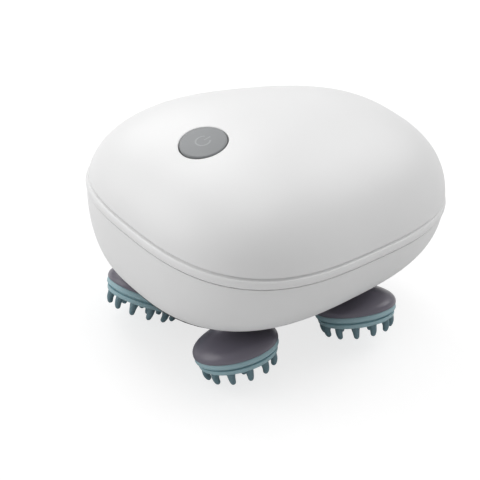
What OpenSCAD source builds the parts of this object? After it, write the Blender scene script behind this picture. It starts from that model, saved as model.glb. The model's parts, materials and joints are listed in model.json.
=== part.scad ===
// Electric scalp massager: an egg-shaped housing that stands on four leaning, clawed heads.
// Millimetres, +Z up. The origin is on the surface it stands on, under the middle of the body.
// The button end is -X, called the front. The charging inlet is at the rear, +X.

/* [Body] */
// Length of the body over its raised lip
body_l = 124; // [122:1:134]
// Width of the body over its raised lip
body_w = 98; // [97:1:106]
// How much wider the front is than the middle, as a share of the width
body_egg = 0.24; // [0.16:0.02:0.26]
// Squareness of the plan outline, where 2 is an ellipse
body_square = 2.7; // [2.6:0.1:3.2]
// Height of the dome above the middle of the parting line
dome_h = 33; // [31:1:38]
// Fullness of the dome's profile, where 2 is an ellipse
dome_full = 2.2; // [2.1:0.1:2.6]
// Depth of the lower shell below the middle of the parting line
skirt_h = 21.5; // [21.5:0.5:25]
// Fullness of the lower shell's profile, where 2 is an ellipse
skirt_full = 1.8; // [1.8:0.1:2.4]
// Length of the opening edge at the bottom of the lower shell
floor_l = 112; // [110:1:116]
// Width of the opening edge at the bottom of the lower shell
floor_w = 66; // [65:1:70]
// How far the bottom sits behind the middle of the body
floor_shift = 0.5; // [0:0.5:2]
// Drop of the parting line from the front to the rear
seam_drop = 6; // [5:0.2:8]
// Bow of the parting line, highest in its middle
seam_bow = 2.4; // [2:0.2:4]
// Wall of both shells
wall = 2.6; // [2.4:0.1:3]
// Height of the raised lip above the parting line
lip_h = 2.8; // [2.6:0.2:4]
// How far the lip stands out from the dome
lip_out = 0.45; // [0.3:0.05:0.8]
// Width of the crease above the lip
crease_w = 1; // [0.8:0.1:1.6]
// Depth of the crease above the lip
crease_d = 0.5; // [0.3:0.05:0.8]

/* [Seam] */
// Depth of the upper shell's tongue inside the lower shell
tongue_h = 1.6; // [1.4:0.1:2.2]
// Thickness of that tongue
tongue_w = 1; // [0.8:0.05:1.1]
// Height of the gasket under the tongue
gasket_h = 0.9; // [0.7:0.1:1.2]

/* [Base] */
// Thickness of the base plate inside the lower shell
floor_t = 2; // [1.8:0.1:2.6]
// How far the base plate stands below the lower shell
base_step = 1.2; // [0.8:0.1:1.6]
// Width of the flange that the base plate carries
flange_w = 3.6; // [3:0.1:3.8]
// Diameter of the collar round each spindle
collar_d = 15; // [14.4:0.2:16]
// Depth of each collar below the base plate
collar_h = 2.5; // [2.2:0.1:3.2]
// Diameter of the five screw towers
tower_d = 6.4; // [6:0.1:6.6]
// Diameter of the long housing screws
screw_d = 2.6; // [2.2:0.1:2.8]
// Diameter of their heads
screw_head_d = 4.4; // [4:0.1:4.8]

/* [Heads] */
// Room from the front end of the body to the front spindles
front_room = 28; // [27.5:0.5:29.5]
// Room from the rear end of the body to the rear spindles, with the motor in it
rear_room = 43.5; // [42:0.5:45]
// Room from the edge of the opening to the spindles beside it
floor_room = 13; // [12.75:0.25:14]
// Room from the wall beside a wheel to its teeth, for the body's round corners
wall_room = 7.3; // [6.8:0.1:8]
// Lean of each cup on its spindle
head_lean = 22; // [18:1:28]
// Diameter of a cup at its rim
cup_d = 28; // [26:0.5:29]
// Length of a cup from its pivot to its rim
cup_h = 10; // [9.5:0.25:11]
// Diameter of a cup's neck
neck_d = 10.4; // [10.2:0.1:11]
// Wall of a cup
cup_wall = 1.5; // [1.2:0.1:1.7]
// Thickness of the silicone pad below the rim
pad_t = 4.2; // [3.8:0.1:5]
// Length of a finger below the pad
finger_l = 4.2; // [3.6:0.1:5]
// Diameter of a finger where it leaves the pad
finger_d = 2.9; // [2.4:0.1:3.1]
// Diameter of a finger's round tip
fingertip_d = 1.7; // [1.4:0.1:2]
// Fingers in the outer ring
outer_fingers = 12; // [10:1:13]
// Fingers in the inner ring
inner_fingers = 7; // [5:1:8]

/* [Drive] */
// Teeth on each worm wheel
wheel_teeth = 36; // [34:2:40]
// Width of the wheels' teeth
wheel_w = 4; // [3:0.25:4.5]
// Height of the wheels' middle above the lower shell's bottom
wheel_lift = 14; // [13.75:0.25:14.5]
// Pitch radius of a worm
worm_r = 4.4; // [4.2:0.1:4.6]
// Length of a worm
worm_l = 12; // [11:0.5:12.5]
// Diameter of the worm shaft
worm_shaft_d = 3; // [2.5:0.1:3.2]
// Diameter of an upright spindle
spindle_d = 4; // [3.6:0.1:4.2]
// Outer diameter of a spindle's bush
bush_d = 7; // [6.6:0.1:7.4]
// Thickness of the chassis plate
chassis_t = 2.4; // [2:0.1:3]
// Diameter of the motor can
motor_d = 20; // [18:0.5:20.5]
// Length of the motor can
motor_l = 17; // [15:0.5:17.5]
// Diameter of the motor's own shaft
motor_shaft_d = 2; // [1.5:0.1:2.3]

/* [Button and power] */
// Diameter of the button
button_d = 15.2; // [14:0.2:16.4]
// Room from the front end of the body to the middle of the button
button_room = 25.5; // [24:0.5:28]
// How far the button stands proud in its middle
button_proud = 0.4; // [0.2:0.1:0.8]
// Fall of its crowned top from the middle to the edge
button_crown = 0.35; // [0.2:0.05:0.5]
// Rounding of its edge
button_edge = 0.5; // [0.3:0.1:0.7]
// Travel of the button
button_travel = 0.6; // [0.4:0.1:0.8]
// Length of the control board
board_l = 30; // [28:1:32]
// Width of the control board
board_w = 24; // [22:1:28]
// How far that board sits behind the button
board_shift = 5; // [4:0.5:6]
// Thickness of the circuit boards
board_t = 1.2; // [1:0.2:1.6]
// Diameter of the cell
cell_d = 18.4; // [16:0.2:19]
// Length of the cell
cell_l = 65; // [60:1:65]
// Place of the cell behind the middle
cell_x = 5.5; // [5:0.5:6]
// Width of the charging inlet
inlet_w = 8.9; // [8:0.1:9.4]
// Height of the charging inlet
inlet_h = 3.2; // [2.8:0.1:3.6]
// Depth of the charging inlet
inlet_l = 7.3; // [6.5:0.1:8]

/* [Clearances] */
// Running clearance of a shaft in its bush, on the radius
run_gap = 0.04; // [0.02:0.01:0.08]
// Gap between pieces that are pressed or screwed together
seat_gap = 0.05; // [0.03:0.01:0.1]
// Free gap round a piece that moves
free_gap = 0.3; // [0.25:0.05:0.4]

/* [Hidden] */
$fn = 48;
front = -1;
rear = 1;
left = -1;
right = 1;
HEADS = [
    ["front_left", front, left, -65],
    ["front_right", front, right, 200],
    ["rear_left", rear, left, -88],
    ["rear_right", rear, right, 75]
];
HEAD_PARTS = ["wheel", "spindle", "clip", "cup", "cup_screw", "pad"];

// Plan outline: steps round it, and its unit shape in the direction t
around = 64;
ANGLES = [for (i = [0 : around - 1]) 360 * i / around];
function reach(t) =
    pow(pow(abs(cos(t)), body_square) + pow(abs(sin(t)), body_square), -1 / body_square);
function unit_x(t) = reach(t) * cos(t);
function unit_y(t) = reach(t) * sin(t) * (1 - body_egg * unit_x(t));
widest = max([for (t = ANGLES) unit_y(t)]);
half_l = body_l / 2 - lip_out;
half_w = (body_w / 2 - lip_out) / widest;

// Leaning head, measured down its axis from the pivot
pad_bottom = cup_h + pad_t;
tip_down = pad_bottom + finger_l - fingertip_d / 2;
tip_r = fingertip_d / 2;
outer_ring_r = cup_d / 2 - 3;
tip_in = 0.4;
outer_tip_r = outer_ring_r - tip_in;
tip_turn = 180 / outer_fingers;
neck_top = 1.5;

// Heights above the surface it stands on
pivot_z = tip_down * cos(head_lean) + outer_tip_r * cos(tip_turn) * sin(head_lean) + tip_r;
collar_z = pivot_z - neck_top * cos(head_lean) + neck_d / 2 * sin(head_lean) + free_gap;
base_z = collar_z + collar_h;
floor_z = base_z + base_step;
seam_z = floor_z + skirt_h;
wheel_z = floor_z + wheel_lift;

// Tooth height above the pitch circle, in modules
tip_height = 0.88;
tip_reach = 1 + 2 * tip_height / wheel_teeth;

// Places of the heads
head_front_x = front_room - body_l / 2;
head_rear_x = body_l / 2 - rear_room;
head_mid_x = (head_front_x + head_rear_x) / 2;
lower_wall = wall + 0.2;
wheel_share = (skirt_h - wheel_lift + wheel_w / 2) / skirt_h;
wheel_wall_y = half_w * widest * skirt_scale(wheel_share, floor_w / 2 / half_w) - lower_wall;
// The spindles stand as far out as both the opening and the wall beside the wheels leave room
head_y = min(
    floor_w / 2 - floor_room,
    (wheel_wall_y - wall_room + worm_r * tip_reach) / (1 + tip_reach)
);
function head_x(head) = head[1] == front ? head_front_x : head_rear_x;

// Worm gearing
pitch_r = head_y - worm_r;
module_mm = 2 * pitch_r / wheel_teeth;
thread_pitch = PI * module_mm;
addendum = tip_height * module_mm;
dedendum = 1.14 * module_mm;
pressure = 20;
wheel_tip_r = pitch_r + addendum;
wheel_root_r = pitch_r - dedendum;
worm_tip_r = worm_r + addendum;
worm_root_r = worm_r - dedendum;
wheel_tooth_t = 0.4 * thread_pitch;
worm_thread_t = 0.35 * thread_pitch;

// Spindle stack: its ball is at the pivot, below its hub, and turns inside the same seal
chassis_z = wheel_z + worm_tip_r + 0.8;
chassis_top = chassis_z + chassis_t;
bush_flange_t = 1;
bush_flange_d = bush_d + 2.2;
hub_r = 4.2;
ball_r = hub_r + 0.1;
hub_top = base_z + 0.5;
boss_top = wheel_z - 6;
boss_r = bush_d / 2 + 1.2;
upper_bush_z = chassis_z - bush_flange_t;
wheel_hub_z = boss_top + bush_flange_t + free_gap;
wheel_hub_top = upper_bush_z - free_gap;
wheel_hub_r = 4.6;
clip_z = chassis_top + free_gap;
clip_t = 0.6;
clip_neck_r = spindle_d / 2 - 0.45;
spindle_top = clip_z + clip_t + 0.8;
seal_r = hub_r + 1.9;
seal_h = 2;

// Cup and its screw
socket_r = 2.5;
socket_end = cup_h - 1.8;
cup_hub_r = socket_r + 1.7;
cup_screw_r = 1.2;

// Motor and worm shaft
coupling_l = 6.4;
coupling_r = 3.2;
coupling_x = head_rear_x + worm_l / 2 + 1.4;
motor_room = 1.2;
motor_x = coupling_x + coupling_l + motor_room;
shafts_meet_x = coupling_x + coupling_l / 2;
shaft_break = 0.2;
block_l = 2.6;
worm_room = 0.6;
end_block_x = head_front_x - worm_l / 2 - worm_room - block_l / 2;
worm_bush_d = worm_shaft_d + 2.4;
worm_shaft_x = end_block_x - block_l / 2 - 0.4;
motor_end_l = 2;

// Screw towers: one in front of the worm shaft, two between the wheels, two beside the motor
tower_front_x = end_block_x - block_l / 2 - worm_room - tower_d / 2 - 1;
tower_mid_y = head_y + 2.3;
tower_rear_x = motor_x + 5.5;
tower_rear_y = motor_d / 2 + 5.8;
TOWERS = [
    [tower_front_x, 0],
    [head_mid_x, -tower_mid_y],
    [head_mid_x, tower_mid_y],
    [tower_rear_x, -tower_rear_y],
    [tower_rear_x, tower_rear_y]
];
screw_hole_r = screw_d / 2 + 0.25;
screw_start = base_z + 1.9;
screw_grip = 9;

// Height of the parting line above its middle, at an outline angle t
function seam_at(t) = -seam_drop / 2 * unit_x(t) - seam_bow * pow(unit_x(t), 2);
function dome_scale(v) = pow(max(1 - pow(v, dome_full), 0), 1 / dome_full);
function skirt_scale(v, bottom) =
    bottom + (1 - bottom) * pow(max(1 - pow(v, skirt_full), 0), 1 / skirt_full);

// A ring of the dome: v is the share of its height, out is how far it stands out, and low is
// how far below the outer surface's level it lies
function dome_ring(v, out, low = 0) = [
    for (t = ANGLES) [
        (half_l + out) * unit_x(t) * dome_scale(v),
        (half_w + out) * unit_y(t) * dome_scale(v),
        seam_z + seam_at(t) * (1 - v) + dome_h * v - low * v
    ]
];
// A ring of the lower shell: v is the share of its depth
function skirt_ring(v, out) = [
    for (t = ANGLES) [
        (half_l * skirt_scale(v, floor_l / 2 / half_l) + out) * unit_x(t) + floor_shift * v,
        (half_w * skirt_scale(v, floor_w / 2 / half_w) + out) * unit_y(t),
        seam_z + seam_at(t) * (1 - v) - skirt_h * v
    ]
];
// A ring that follows the parting line at height z from it
function seam_ring(z, out) = [
    for (t = ANGLES)
        [(half_l + out) * unit_x(t), (half_w + out) * unit_y(t), seam_z + seam_at(t) + z]
];
// A level ring of the floor outline
function floor_ring(z, out) = [
    for (t = ANGLES)
        [(floor_l / 2 + out) * unit_x(t) + floor_shift, (floor_w / 2 + out) * unit_y(t), z]
];
function flat(ring) = [for (p = ring) [p[0], p[1]]];

// Surface through a list of rings, wound from the outside down and back up the inside
function ring_faces(rows, shift) = [
    for (j = [0 : rows - 2], i = [0 : around - 1])
        let (a = shift + j * around + i, b = shift + j * around + (i + 1) % around)
            each [[a, b, b + around], [a, b + around, a + around]]
];
module loft_between_poles(rings, first, last) {
    points = concat([first], [for (ring = rings) each ring], [last]);
    end = len(points) - 1;
    row = end - around;
    polyhedron(points, concat(
        [for (i = [0 : around - 1]) [0, 1 + (i + 1) % around, 1 + i]],
        ring_faces(len(rings), 1),
        [for (i = [0 : around - 1]) [end, row + i, row + (i + 1) % around]]
    ));
}
module loft_loop(rings) {
    rows = len(rings);
    points = [for (ring = rings) each ring];
    polyhedron(points, [
        for (j = [0 : rows - 1], i = [0 : around - 1])
            let (
                a = j * around + i,
                b = j * around + (i + 1) % around,
                c = (j + 1) % rows * around + i,
                d = (j + 1) % rows * around + (i + 1) % around
            )
                each [[a, b, d], [a, d, c]]
    ]);
}

// Height share v at which the dome stands h above the parting line
function at_height(h) = h / dome_h;
lip_steps = 6;
crease_steps = 4;
dome_steps = 11;
inner_steps = 8;
crease_top = lip_h + crease_w;
crease_angle = asin(pow(at_height(crease_top), dome_full / 2));
function lip_bulge(h) = lip_out * sqrt(max(1 - pow(2 * h / lip_h - 1, 2), 0));
function crease_dip(h) = -crease_d * sin(180 * (h - lip_h) / crease_w);
function arc_share(angle) = pow(sin(angle), 2 / dome_full);

// White upper shell: its outside runs down the dome, round the crease and the lip to the
// parting line, and its inside runs from the tongue back up under the dome
module upper_skin() {
    outside = concat(
        [
            for (k = [0 : dome_steps])
                dome_ring(arc_share(86 + (crease_angle - 86) * k / dome_steps), 0)
        ],
        [
            for (k = [1 : crease_steps])
                let (h = crease_top - crease_w * k / crease_steps)
                    dome_ring(at_height(h), crease_dip(h))
        ],
        [
            for (k = [1 : lip_steps])
                let (h = lip_h * (1 + cos(180 * k / lip_steps)) / 2)
                    dome_ring(at_height(h), lip_bulge(h))
        ]
    );
    tongue = [
        seam_ring(0, tongue_w - wall),
        seam_ring(-tongue_h, tongue_w - wall),
        seam_ring(-tongue_h, -wall)
    ];
    inside = [
        for (k = [0 : inner_steps]) dome_ring(arc_share(86 * k / inner_steps), -wall, wall)
    ];
    loft_between_poles(
        concat(outside, tongue, inside),
        [0, 0, seam_z + dome_h],
        [0, 0, seam_z + dome_h - wall]
    );
}
// Solid that ends in the middle of the dome's wall: bosses are cut to it
module dome_core() {
    rings = concat(
        [[for (p = seam_ring(0, -wall / 2)) [p[0], p[1], floor_z]]],
        [for (k = [0 : 6]) dome_ring(arc_share(84 * k / 6), -wall / 2, wall / 2)]
    );
    loft_between_poles(
        [for (k = [len(rings) - 1 : -1 : 0]) rings[k]],
        [0, 0, seam_z + dome_h - wall / 2],
        [0, 0, floor_z]
    );
}

// Button place: its axis stands square to the dome
button_x = body_l / 2 - button_room;
function dome_height_at(x) =
    let (
        s = abs(x) / half_l,
        v = pow(1 - pow(s, dome_full), 1 / dome_full),
        rise = seam_at(x < 0 ? 180 : 0) * (1 - v)
    )
        seam_z + dome_h * v + rise;
slope_step = 0.5;
button_slope = atan(
    (dome_height_at(slope_step - button_x) - dome_height_at(-slope_step - button_x))
    / (2 * slope_step)
);
module at_button() {
    translate([-button_x, 0, dome_height_at(-button_x)])
        rotate([0, -button_slope, 0])
            children();
}
button_hole_r = button_d / 2 + free_gap;
cap_flange_z = -wall - 1.8;
cap_flange_t = 0.8;
cap_flange_r = button_hole_r + 1;
stem_end = cap_flange_z - cap_flange_t - 1;
plunger_l = 1;
plunger_r = 1.7;
switch_top = stem_end - plunger_l;
switch_h = 3.3;
board_top = switch_top - switch_h;
BOARD_HOLES = [
    for (x = [-1, 1], y = [-1, 1]) [board_shift + x * (board_l / 2 - 3), y * (board_w / 2 - 3)]
];
board_post_r = 2.4;
board_screw_r = 0.9;

// Charging inlet place, above the motor
inlet_z = wheel_z + motor_d / 2 + 1.9 + board_t + inlet_h / 2;
inlet_share = (inlet_z - seam_z - seam_at(0)) / (dome_h - seam_at(0));
inlet_face = half_l * dome_scale(inlet_share) - 0.3;
inlet_back = inlet_face - inlet_l;

module upper_shell() color("whitesmoke") {
    difference() {
        union() {
            upper_skin();
            intersection() {
                dome_core();
                union() {
                    for (tower = TOWERS)
                        translate([tower[0], tower[1], chassis_top + seat_gap])
                            cylinder(h = dome_h + skirt_h, r = tower_d / 2);
                    at_button()
                        for (hole = BOARD_HOLES)
                            translate([hole[0], hole[1], board_top])
                                cylinder(h = -board_top + 8, r = board_post_r);
                }
            }
        }
        at_button()
            translate([0, 0, -wall - 2])
                cylinder(h = wall + 5, r = button_hole_r);
        at_button()
            for (hole = BOARD_HOLES)
                translate([hole[0], hole[1], board_top - 1])
                    cylinder(h = 5, r = board_screw_r + seat_gap);
        for (tower = TOWERS)
            translate([tower[0], tower[1], chassis_top - 1])
                cylinder(h = screw_grip + 2, r = screw_d / 2 + seat_gap);
        inlet_slot(free_gap);
    }
}
// Round-ended slot of the inlet, grown by a gap
module inlet_slot(gap) {
    r = inlet_h / 2 + gap;
    for (y = [-1, 1])
        translate([inlet_back, y * (inlet_w - inlet_h) / 2, inlet_z])
            rotate([0, 90, 0])
                cylinder(h = inlet_l + 8, r = r);
    translate([inlet_back, -(inlet_w - inlet_h) / 2, inlet_z - r])
        cube([inlet_l + 8, inlet_w - inlet_h, 2 * r]);
}

// White lower shell: a ring with a rabbet for the tongue and a flange at its bottom
module lower_shell() color("white") {
    rabbet = tongue_h + gasket_h + 2 * seat_gap;
    skirt_steps = 9;
    inner_end = 1 - floor_t / skirt_h;
    outside = [
        for (k = [0 : skirt_steps]) skirt_ring(pow(sin(90 * k / skirt_steps), 2 / skirt_full), -0.1)
    ];
    flange = [
        floor_ring(floor_z, -flange_w),
        floor_ring(floor_z + floor_t, -flange_w)
    ];
    inside = [
        for (k = [5 : -1 : 1])
            skirt_ring(inner_end * pow(sin(90 * k / 5), 2 / skirt_full), -lower_wall)
    ];
    groove = [
        seam_ring(-rabbet, -lower_wall),
        seam_ring(-rabbet, tongue_w - wall + 0.2),
        seam_ring(-seat_gap, tongue_w - wall + 0.2)
    ];
    loft_loop(concat(outside, flange, inside, groove));
}

// Silicone gasket between the tongue and the rabbet
module seam_gasket() color("lightgray")
    loft_loop([
        seam_ring(-tongue_h - seat_gap, tongue_w - wall - seat_gap),
        seam_ring(-tongue_h - seat_gap - gasket_h, tongue_w - wall - seat_gap),
        seam_ring(-tongue_h - seat_gap - gasket_h, -wall),
        seam_ring(-tongue_h - seat_gap, -wall)
    ]);

module at_heads()
    for (head = HEADS)
        translate([head_x(head), head[2] * head_y, 0])
            children();

// Dark base plate: it closes the bottom, and carries the bushes, towers and motor saddle
saddle_l = motor_l - 4.5;
saddle_y = motor_d / 2 + 2.4;
saddle_z = wheel_z - 3;
ear_y = saddle_y + 3.6;
ear_l = 4;
module base_plate() color("dimgray")
    difference() {
        union() {
            translate([0, 0, base_z])
                linear_extrude(base_step - seat_gap)
                    polygon(flat(floor_ring(0, -0.6)));
            translate([0, 0, base_z + base_step / 2])
                linear_extrude(base_step / 2 + floor_t)
                    polygon(flat(floor_ring(0, -flange_w - 0.2)));
            at_heads() {
                translate([0, 0, collar_z])
                    cylinder(h = collar_h + 0.4, r = collar_d / 2);
                translate([0, 0, floor_z])
                    cylinder(h = boss_top - floor_z, r = boss_r);
            }
            for (tower = TOWERS)
                translate([tower[0], tower[1], floor_z])
                    cylinder(h = chassis_z - seat_gap - floor_z, r = tower_d / 2);
            translate([motor_x + 1.5, -saddle_y, floor_z])
                cube([saddle_l, 2 * saddle_y, saddle_z - floor_z]);
            translate([ear_x, -ear_y, floor_z + floor_t + free_gap])
                cube([ear_l, 2 * ear_y, saddle_z - floor_z - floor_t - free_gap]);
        }
        at_heads() {
            translate([0, 0, collar_z - 1])
                cylinder(h = seal_h + 1, r = seal_r + seat_gap);
            translate([0, 0, collar_z])
                cylinder(h = hub_top + free_gap - collar_z, r = hub_r + free_gap);
            translate([0, 0, collar_z])
                cylinder(h = boss_top + 1 - collar_z, r = bush_d / 2 + seat_gap);
        }
        for (tower = TOWERS)
            translate([tower[0], tower[1], base_z - 1]) {
                cylinder(h = chassis_top - base_z, r = screw_hole_r);
                cylinder(h = 1 + screw_start - base_z, r = screw_head_d / 2 + 0.2);
            }
        translate([motor_x, 0, wheel_z])
            rotate([0, 90, 0])
                cylinder(h = motor_l, r = motor_d / 2 + seat_gap);
        for (screw = CLAMP_SCREWS)
            translate([screw[0], screw[1], screw[2] - clamp_screw_l - 0.5])
                cylinder(h = clamp_screw_l, r = clamp_screw_r + seat_gap);
    }

// Long screws, heads in the base plate and threads in the upper shell's towers
module housing_screws() color("silver")
    for (tower = TOWERS)
        translate([tower[0], tower[1], 0])
            difference() {
                union() {
                    translate([0, 0, base_z + 0.3])
                        cylinder(h = screw_start - base_z - 0.3, r = screw_head_d / 2);
                    translate([0, 0, screw_start - 0.2])
                        cylinder(h = chassis_top + screw_grip - screw_start, r = screw_d / 2);
                }
                for (turn = [0, 90])
                    rotate([0, 0, turn])
                        translate([-screw_head_d / 3, -0.25, base_z])
                            cube([screw_head_d / 1.5, 0.5, 1.1]);
            }

// Chassis: the plate over the wheels, with the worm shaft's two bearing blocks
BLOCKS_X = [end_block_x, head_mid_x];
block_w = worm_bush_d + 3.4;
module chassis() color("slategray")
    difference() {
        union() {
            translate([0, 0, chassis_z])
                linear_extrude(chassis_t)
                    difference() {
                        union() {
                            for (x = [head_front_x, head_rear_x])
                                translate([x, 0])
                                    square([13, 2 * head_y], center = true);
                            for (y = [-1, 1])
                                translate([head_mid_x, y * head_y])
                                    square([head_rear_x - head_front_x, 9], center = true);
                            translate([tower_front_x, -5])
                                square([motor_x - tower_front_x - 8.5, 10]);
                            for (tower = TOWERS)
                                translate(tower)
                                    circle(d = tower_d + 1.2);
                            for (y = [-1, 1])
                                translate([head_rear_x, y * tower_rear_y - 2.5])
                                    square([tower_rear_x - head_rear_x, 5]);
                            for (head = HEADS)
                                translate([head_x(head), head[2] * head_y])
                                    circle(d = bush_flange_d + 5);
                        }
                        translate([motor_x - 2, -saddle_y - free_gap])
                            square([motor_l, 2 * saddle_y + 2 * free_gap]);
                    }
            for (x = BLOCKS_X)
                translate([x - block_l / 2, -block_w / 2, wheel_z - block_w / 2])
                    cube([block_l, block_w, chassis_z + 0.5 - wheel_z + block_w / 2]);
        }
        at_heads()
            translate([0, 0, chassis_z - 1])
                cylinder(h = chassis_t + 2, r = bush_d / 2 + seat_gap);
        for (tower = TOWERS)
            translate([tower[0], tower[1], chassis_z - 1])
                cylinder(h = chassis_t + 2, r = screw_hole_r);
        for (x = BLOCKS_X)
            translate([x - block_l, 0, wheel_z])
                rotate([0, 90, 0])
                    cylinder(h = 2 * block_l, r = worm_bush_d / 2 + seat_gap);
    }

// Flanged bush: the flange is at z = 0 and the sleeve runs up from it
module flanged_bush(sleeve_l)
    difference() {
        union() {
            cylinder(h = bush_flange_t, r = bush_flange_d / 2);
            cylinder(h = bush_flange_t + sleeve_l, r = bush_d / 2);
        }
        translate([0, 0, -1])
            cylinder(h = sleeve_l + 4, r = spindle_d / 2 + run_gap);
    }
module lower_bushes() color("darkgoldenrod")
    at_heads()
        translate([0, 0, boss_top + bush_flange_t])
            mirror([0, 0, 1])
                flanged_bush(boss_top - hub_top - 1.5);
module upper_bushes() color("darkgoldenrod")
    at_heads()
        translate([0, 0, upper_bush_z])
            flanged_bush(chassis_t);
module shaft_seals() color("black")
    at_heads()
        translate([0, 0, collar_z])
            difference() {
                cylinder(h = seal_h - seat_gap, r = seal_r);
                translate([0, 0, -1])
                    cylinder(h = seal_h + 2, r = hub_r + 0.1);
            }
module worm_bushes() color("darkgoldenrod")
    for (x = BLOCKS_X)
        translate([x - block_l / 2, 0, wheel_z])
            rotate([0, 90, 0])
                difference() {
                    cylinder(h = block_l, r = worm_bush_d / 2);
                    translate([0, 0, -1])
                        cylinder(h = block_l + 2, r = worm_shaft_d / 2 + run_gap);
                }

// Motor: steel can, plastic end cap, and the clamp over it that also carries the inlet board
module along_motor(x)
    translate([x, 0, wheel_z])
        rotate([0, 90, 0])
            children();
module motor_can() color("silver")
    difference() {
        union() {
            along_motor(motor_x)
                cylinder(h = motor_l, r = motor_d / 2);
            along_motor(motor_x - 0.9)
                cylinder(h = 1.2, r = 3);
        }
        along_motor(motor_x - 2)
            cylinder(h = motor_l + 4, r = motor_shaft_d / 2 + run_gap);
    }
module motor_end() color("ivory")
    difference() {
        union() {
            along_motor(motor_x + motor_l)
                cylinder(h = motor_end_l, r = motor_d / 2 - 0.8);
            for (y = [-1, 1])
                translate([motor_x + motor_l + 0.5, y * motor_d / 4 - 1, wheel_z + 2])
                    cube([motor_end_l + 1, 2, 0.6]);
        }
        along_motor(motor_x + motor_l - 1)
            cylinder(h = motor_end_l + 0.4, r = motor_shaft_d / 2 + run_gap);
    }
clamp_l = 8;
clamp_x = motor_x + motor_l - clamp_l - 1.5;
clamp_foot_z = saddle_z + seat_gap;
clamp_top = inlet_z - inlet_h / 2 - board_t - 2 * seat_gap;
ear_x = clamp_x + clamp_l - ear_l;
ear_t = 2.4;
clamp_screw_r = 0.8;
clamp_screw_l = 4.4;
// Two screws hold the clamp's ears down, and two hold the inlet board: each at its head's seat
CLAMP_SCREWS = [
    for (y = [-1, 1])
        each [
            [ear_x + ear_l / 2, y * (ear_y - 1.8), clamp_foot_z + ear_t + seat_gap],
            [ear_x + ear_l / 2, y * (motor_d / 2 - 0.5), clamp_top + board_t + 2 * seat_gap]
        ]
];
module motor_clamp() color("dimgray")
    difference() {
        union() {
            translate([clamp_x, -saddle_y, clamp_foot_z])
                cube([clamp_l, 2 * saddle_y, clamp_top - clamp_foot_z]);
            translate([ear_x, -ear_y, clamp_foot_z])
                cube([ear_l, 2 * ear_y, ear_t]);
        }
        along_motor(motor_x)
            cylinder(h = motor_l, r = motor_d / 2 + seat_gap);
        for (screw = CLAMP_SCREWS)
            translate([screw[0], screw[1], screw[2] - clamp_screw_l - 0.3])
                cylinder(h = 6, r = clamp_screw_r + seat_gap);
    }
module clamp_screws() color("silver")
    for (screw = CLAMP_SCREWS)
        translate(screw) {
            cylinder(h = 0.9, r = 1.5);
            translate([0, 0, -clamp_screw_l])
                cylinder(h = clamp_screw_l + 0.2, r = clamp_screw_r);
        }

// Cell lying across the chassis in its cradle
cell_lift = 0.8;
cell_z = chassis_top + cell_lift + cell_d / 2;
cradle_y = head_y - 8.5;
module cell() color("steelblue")
    translate([cell_x, cell_l / 2, cell_z])
        rotate([90, 0, 0]) {
            cylinder(h = cell_l, r = cell_d / 2);
            translate([0, 0, cell_l])
                cylinder(h = 0.8, r = cell_d / 6);
        }
module cell_cradle() color("dimgray")
    difference() {
        for (y = [-1, 1])
            translate([cell_x - cell_d / 2 - 1.4, y * cradle_y - 3, chassis_top + seat_gap])
                cube([cell_d + 2.8, 6, cell_d * 0.5]);
        translate([cell_x, cell_l, cell_z])
            rotate([90, 0, 0])
                cylinder(h = 2 * cell_l, r = cell_d / 2 + seat_gap);
    }

// Control board under the button, its parts, and the switch on it
module control_board() color("darkgreen")
    at_button()
        difference() {
            translate([board_shift - board_l / 2, -board_w / 2, board_top - board_t - seat_gap])
                cube([board_l, board_w, board_t]);
            for (hole = BOARD_HOLES)
                translate([hole[0], hole[1], board_top - board_t - 1])
                    cylinder(h = board_t + 2, r = board_screw_r + 0.2);
        }
// Chips and the cell's socket: each one's place, as shares of the board, and its size
BOARD_CHIPS = [[0.03, -0.29, [5, 5, 1]], [0.03, 0.2, [3, 1.6, 1.2]], [0.23, -0.08, [6, 4, 3]]];
module board_parts() color("black")
    at_button()
        translate([board_shift, 0, board_top]) {
            for (chip = BOARD_CHIPS)
                translate([chip[0] * board_l, chip[1] * board_w, 0])
                    cube(chip[2]);
            translate([-board_l * 0.4, 0, 0])
                cylinder(h = 2.4, r = 1.8);
        }
module board_screws() color("silver")
    at_button()
        for (hole = BOARD_HOLES)
            translate([hole[0], hole[1], board_top - board_t - 2 * seat_gap]) {
                cylinder(h = board_t + 3.4, r = board_screw_r);
                translate([0, 0, -0.8])
                    cylinder(h = 0.8, r = board_screw_r * 2);
            }
module tact_switch() color("gray")
    at_button()
        difference() {
            translate([-3, -3, board_top])
                cube([6, 6, switch_h]);
            translate([0, 0, switch_top - 2 * button_travel])
                cylinder(h = 3, r = plunger_r + 0.1);
        }
module charge_board() color("darkgreen")
    difference() {
        translate([clamp_x - 1, -saddle_y + 0.4, clamp_top + seat_gap])
            cube([inlet_face - wall - clamp_x, 2 * saddle_y - 0.8, board_t]);
        for (screw = CLAMP_SCREWS)
            translate([screw[0], screw[1], clamp_top - 1])
                cylinder(h = 4, r = clamp_screw_r + 0.2);
    }
module charge_inlet() color("silver")
    intersection() {
        union() {
            difference() {
                inlet_slot(0);
                translate([1.2, 0, 0])
                    inlet_slot(-0.3);
            }
            translate([inlet_back + 0.5, -inlet_w / 2 + 1.2, inlet_z - 0.35])
                cube([inlet_l - 1.3, inlet_w - 2.4, 0.7]);
        }
        translate([0, -body_w / 2, 0])
            cube([inlet_face, body_w, seam_z + dome_h]);
    }

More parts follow.
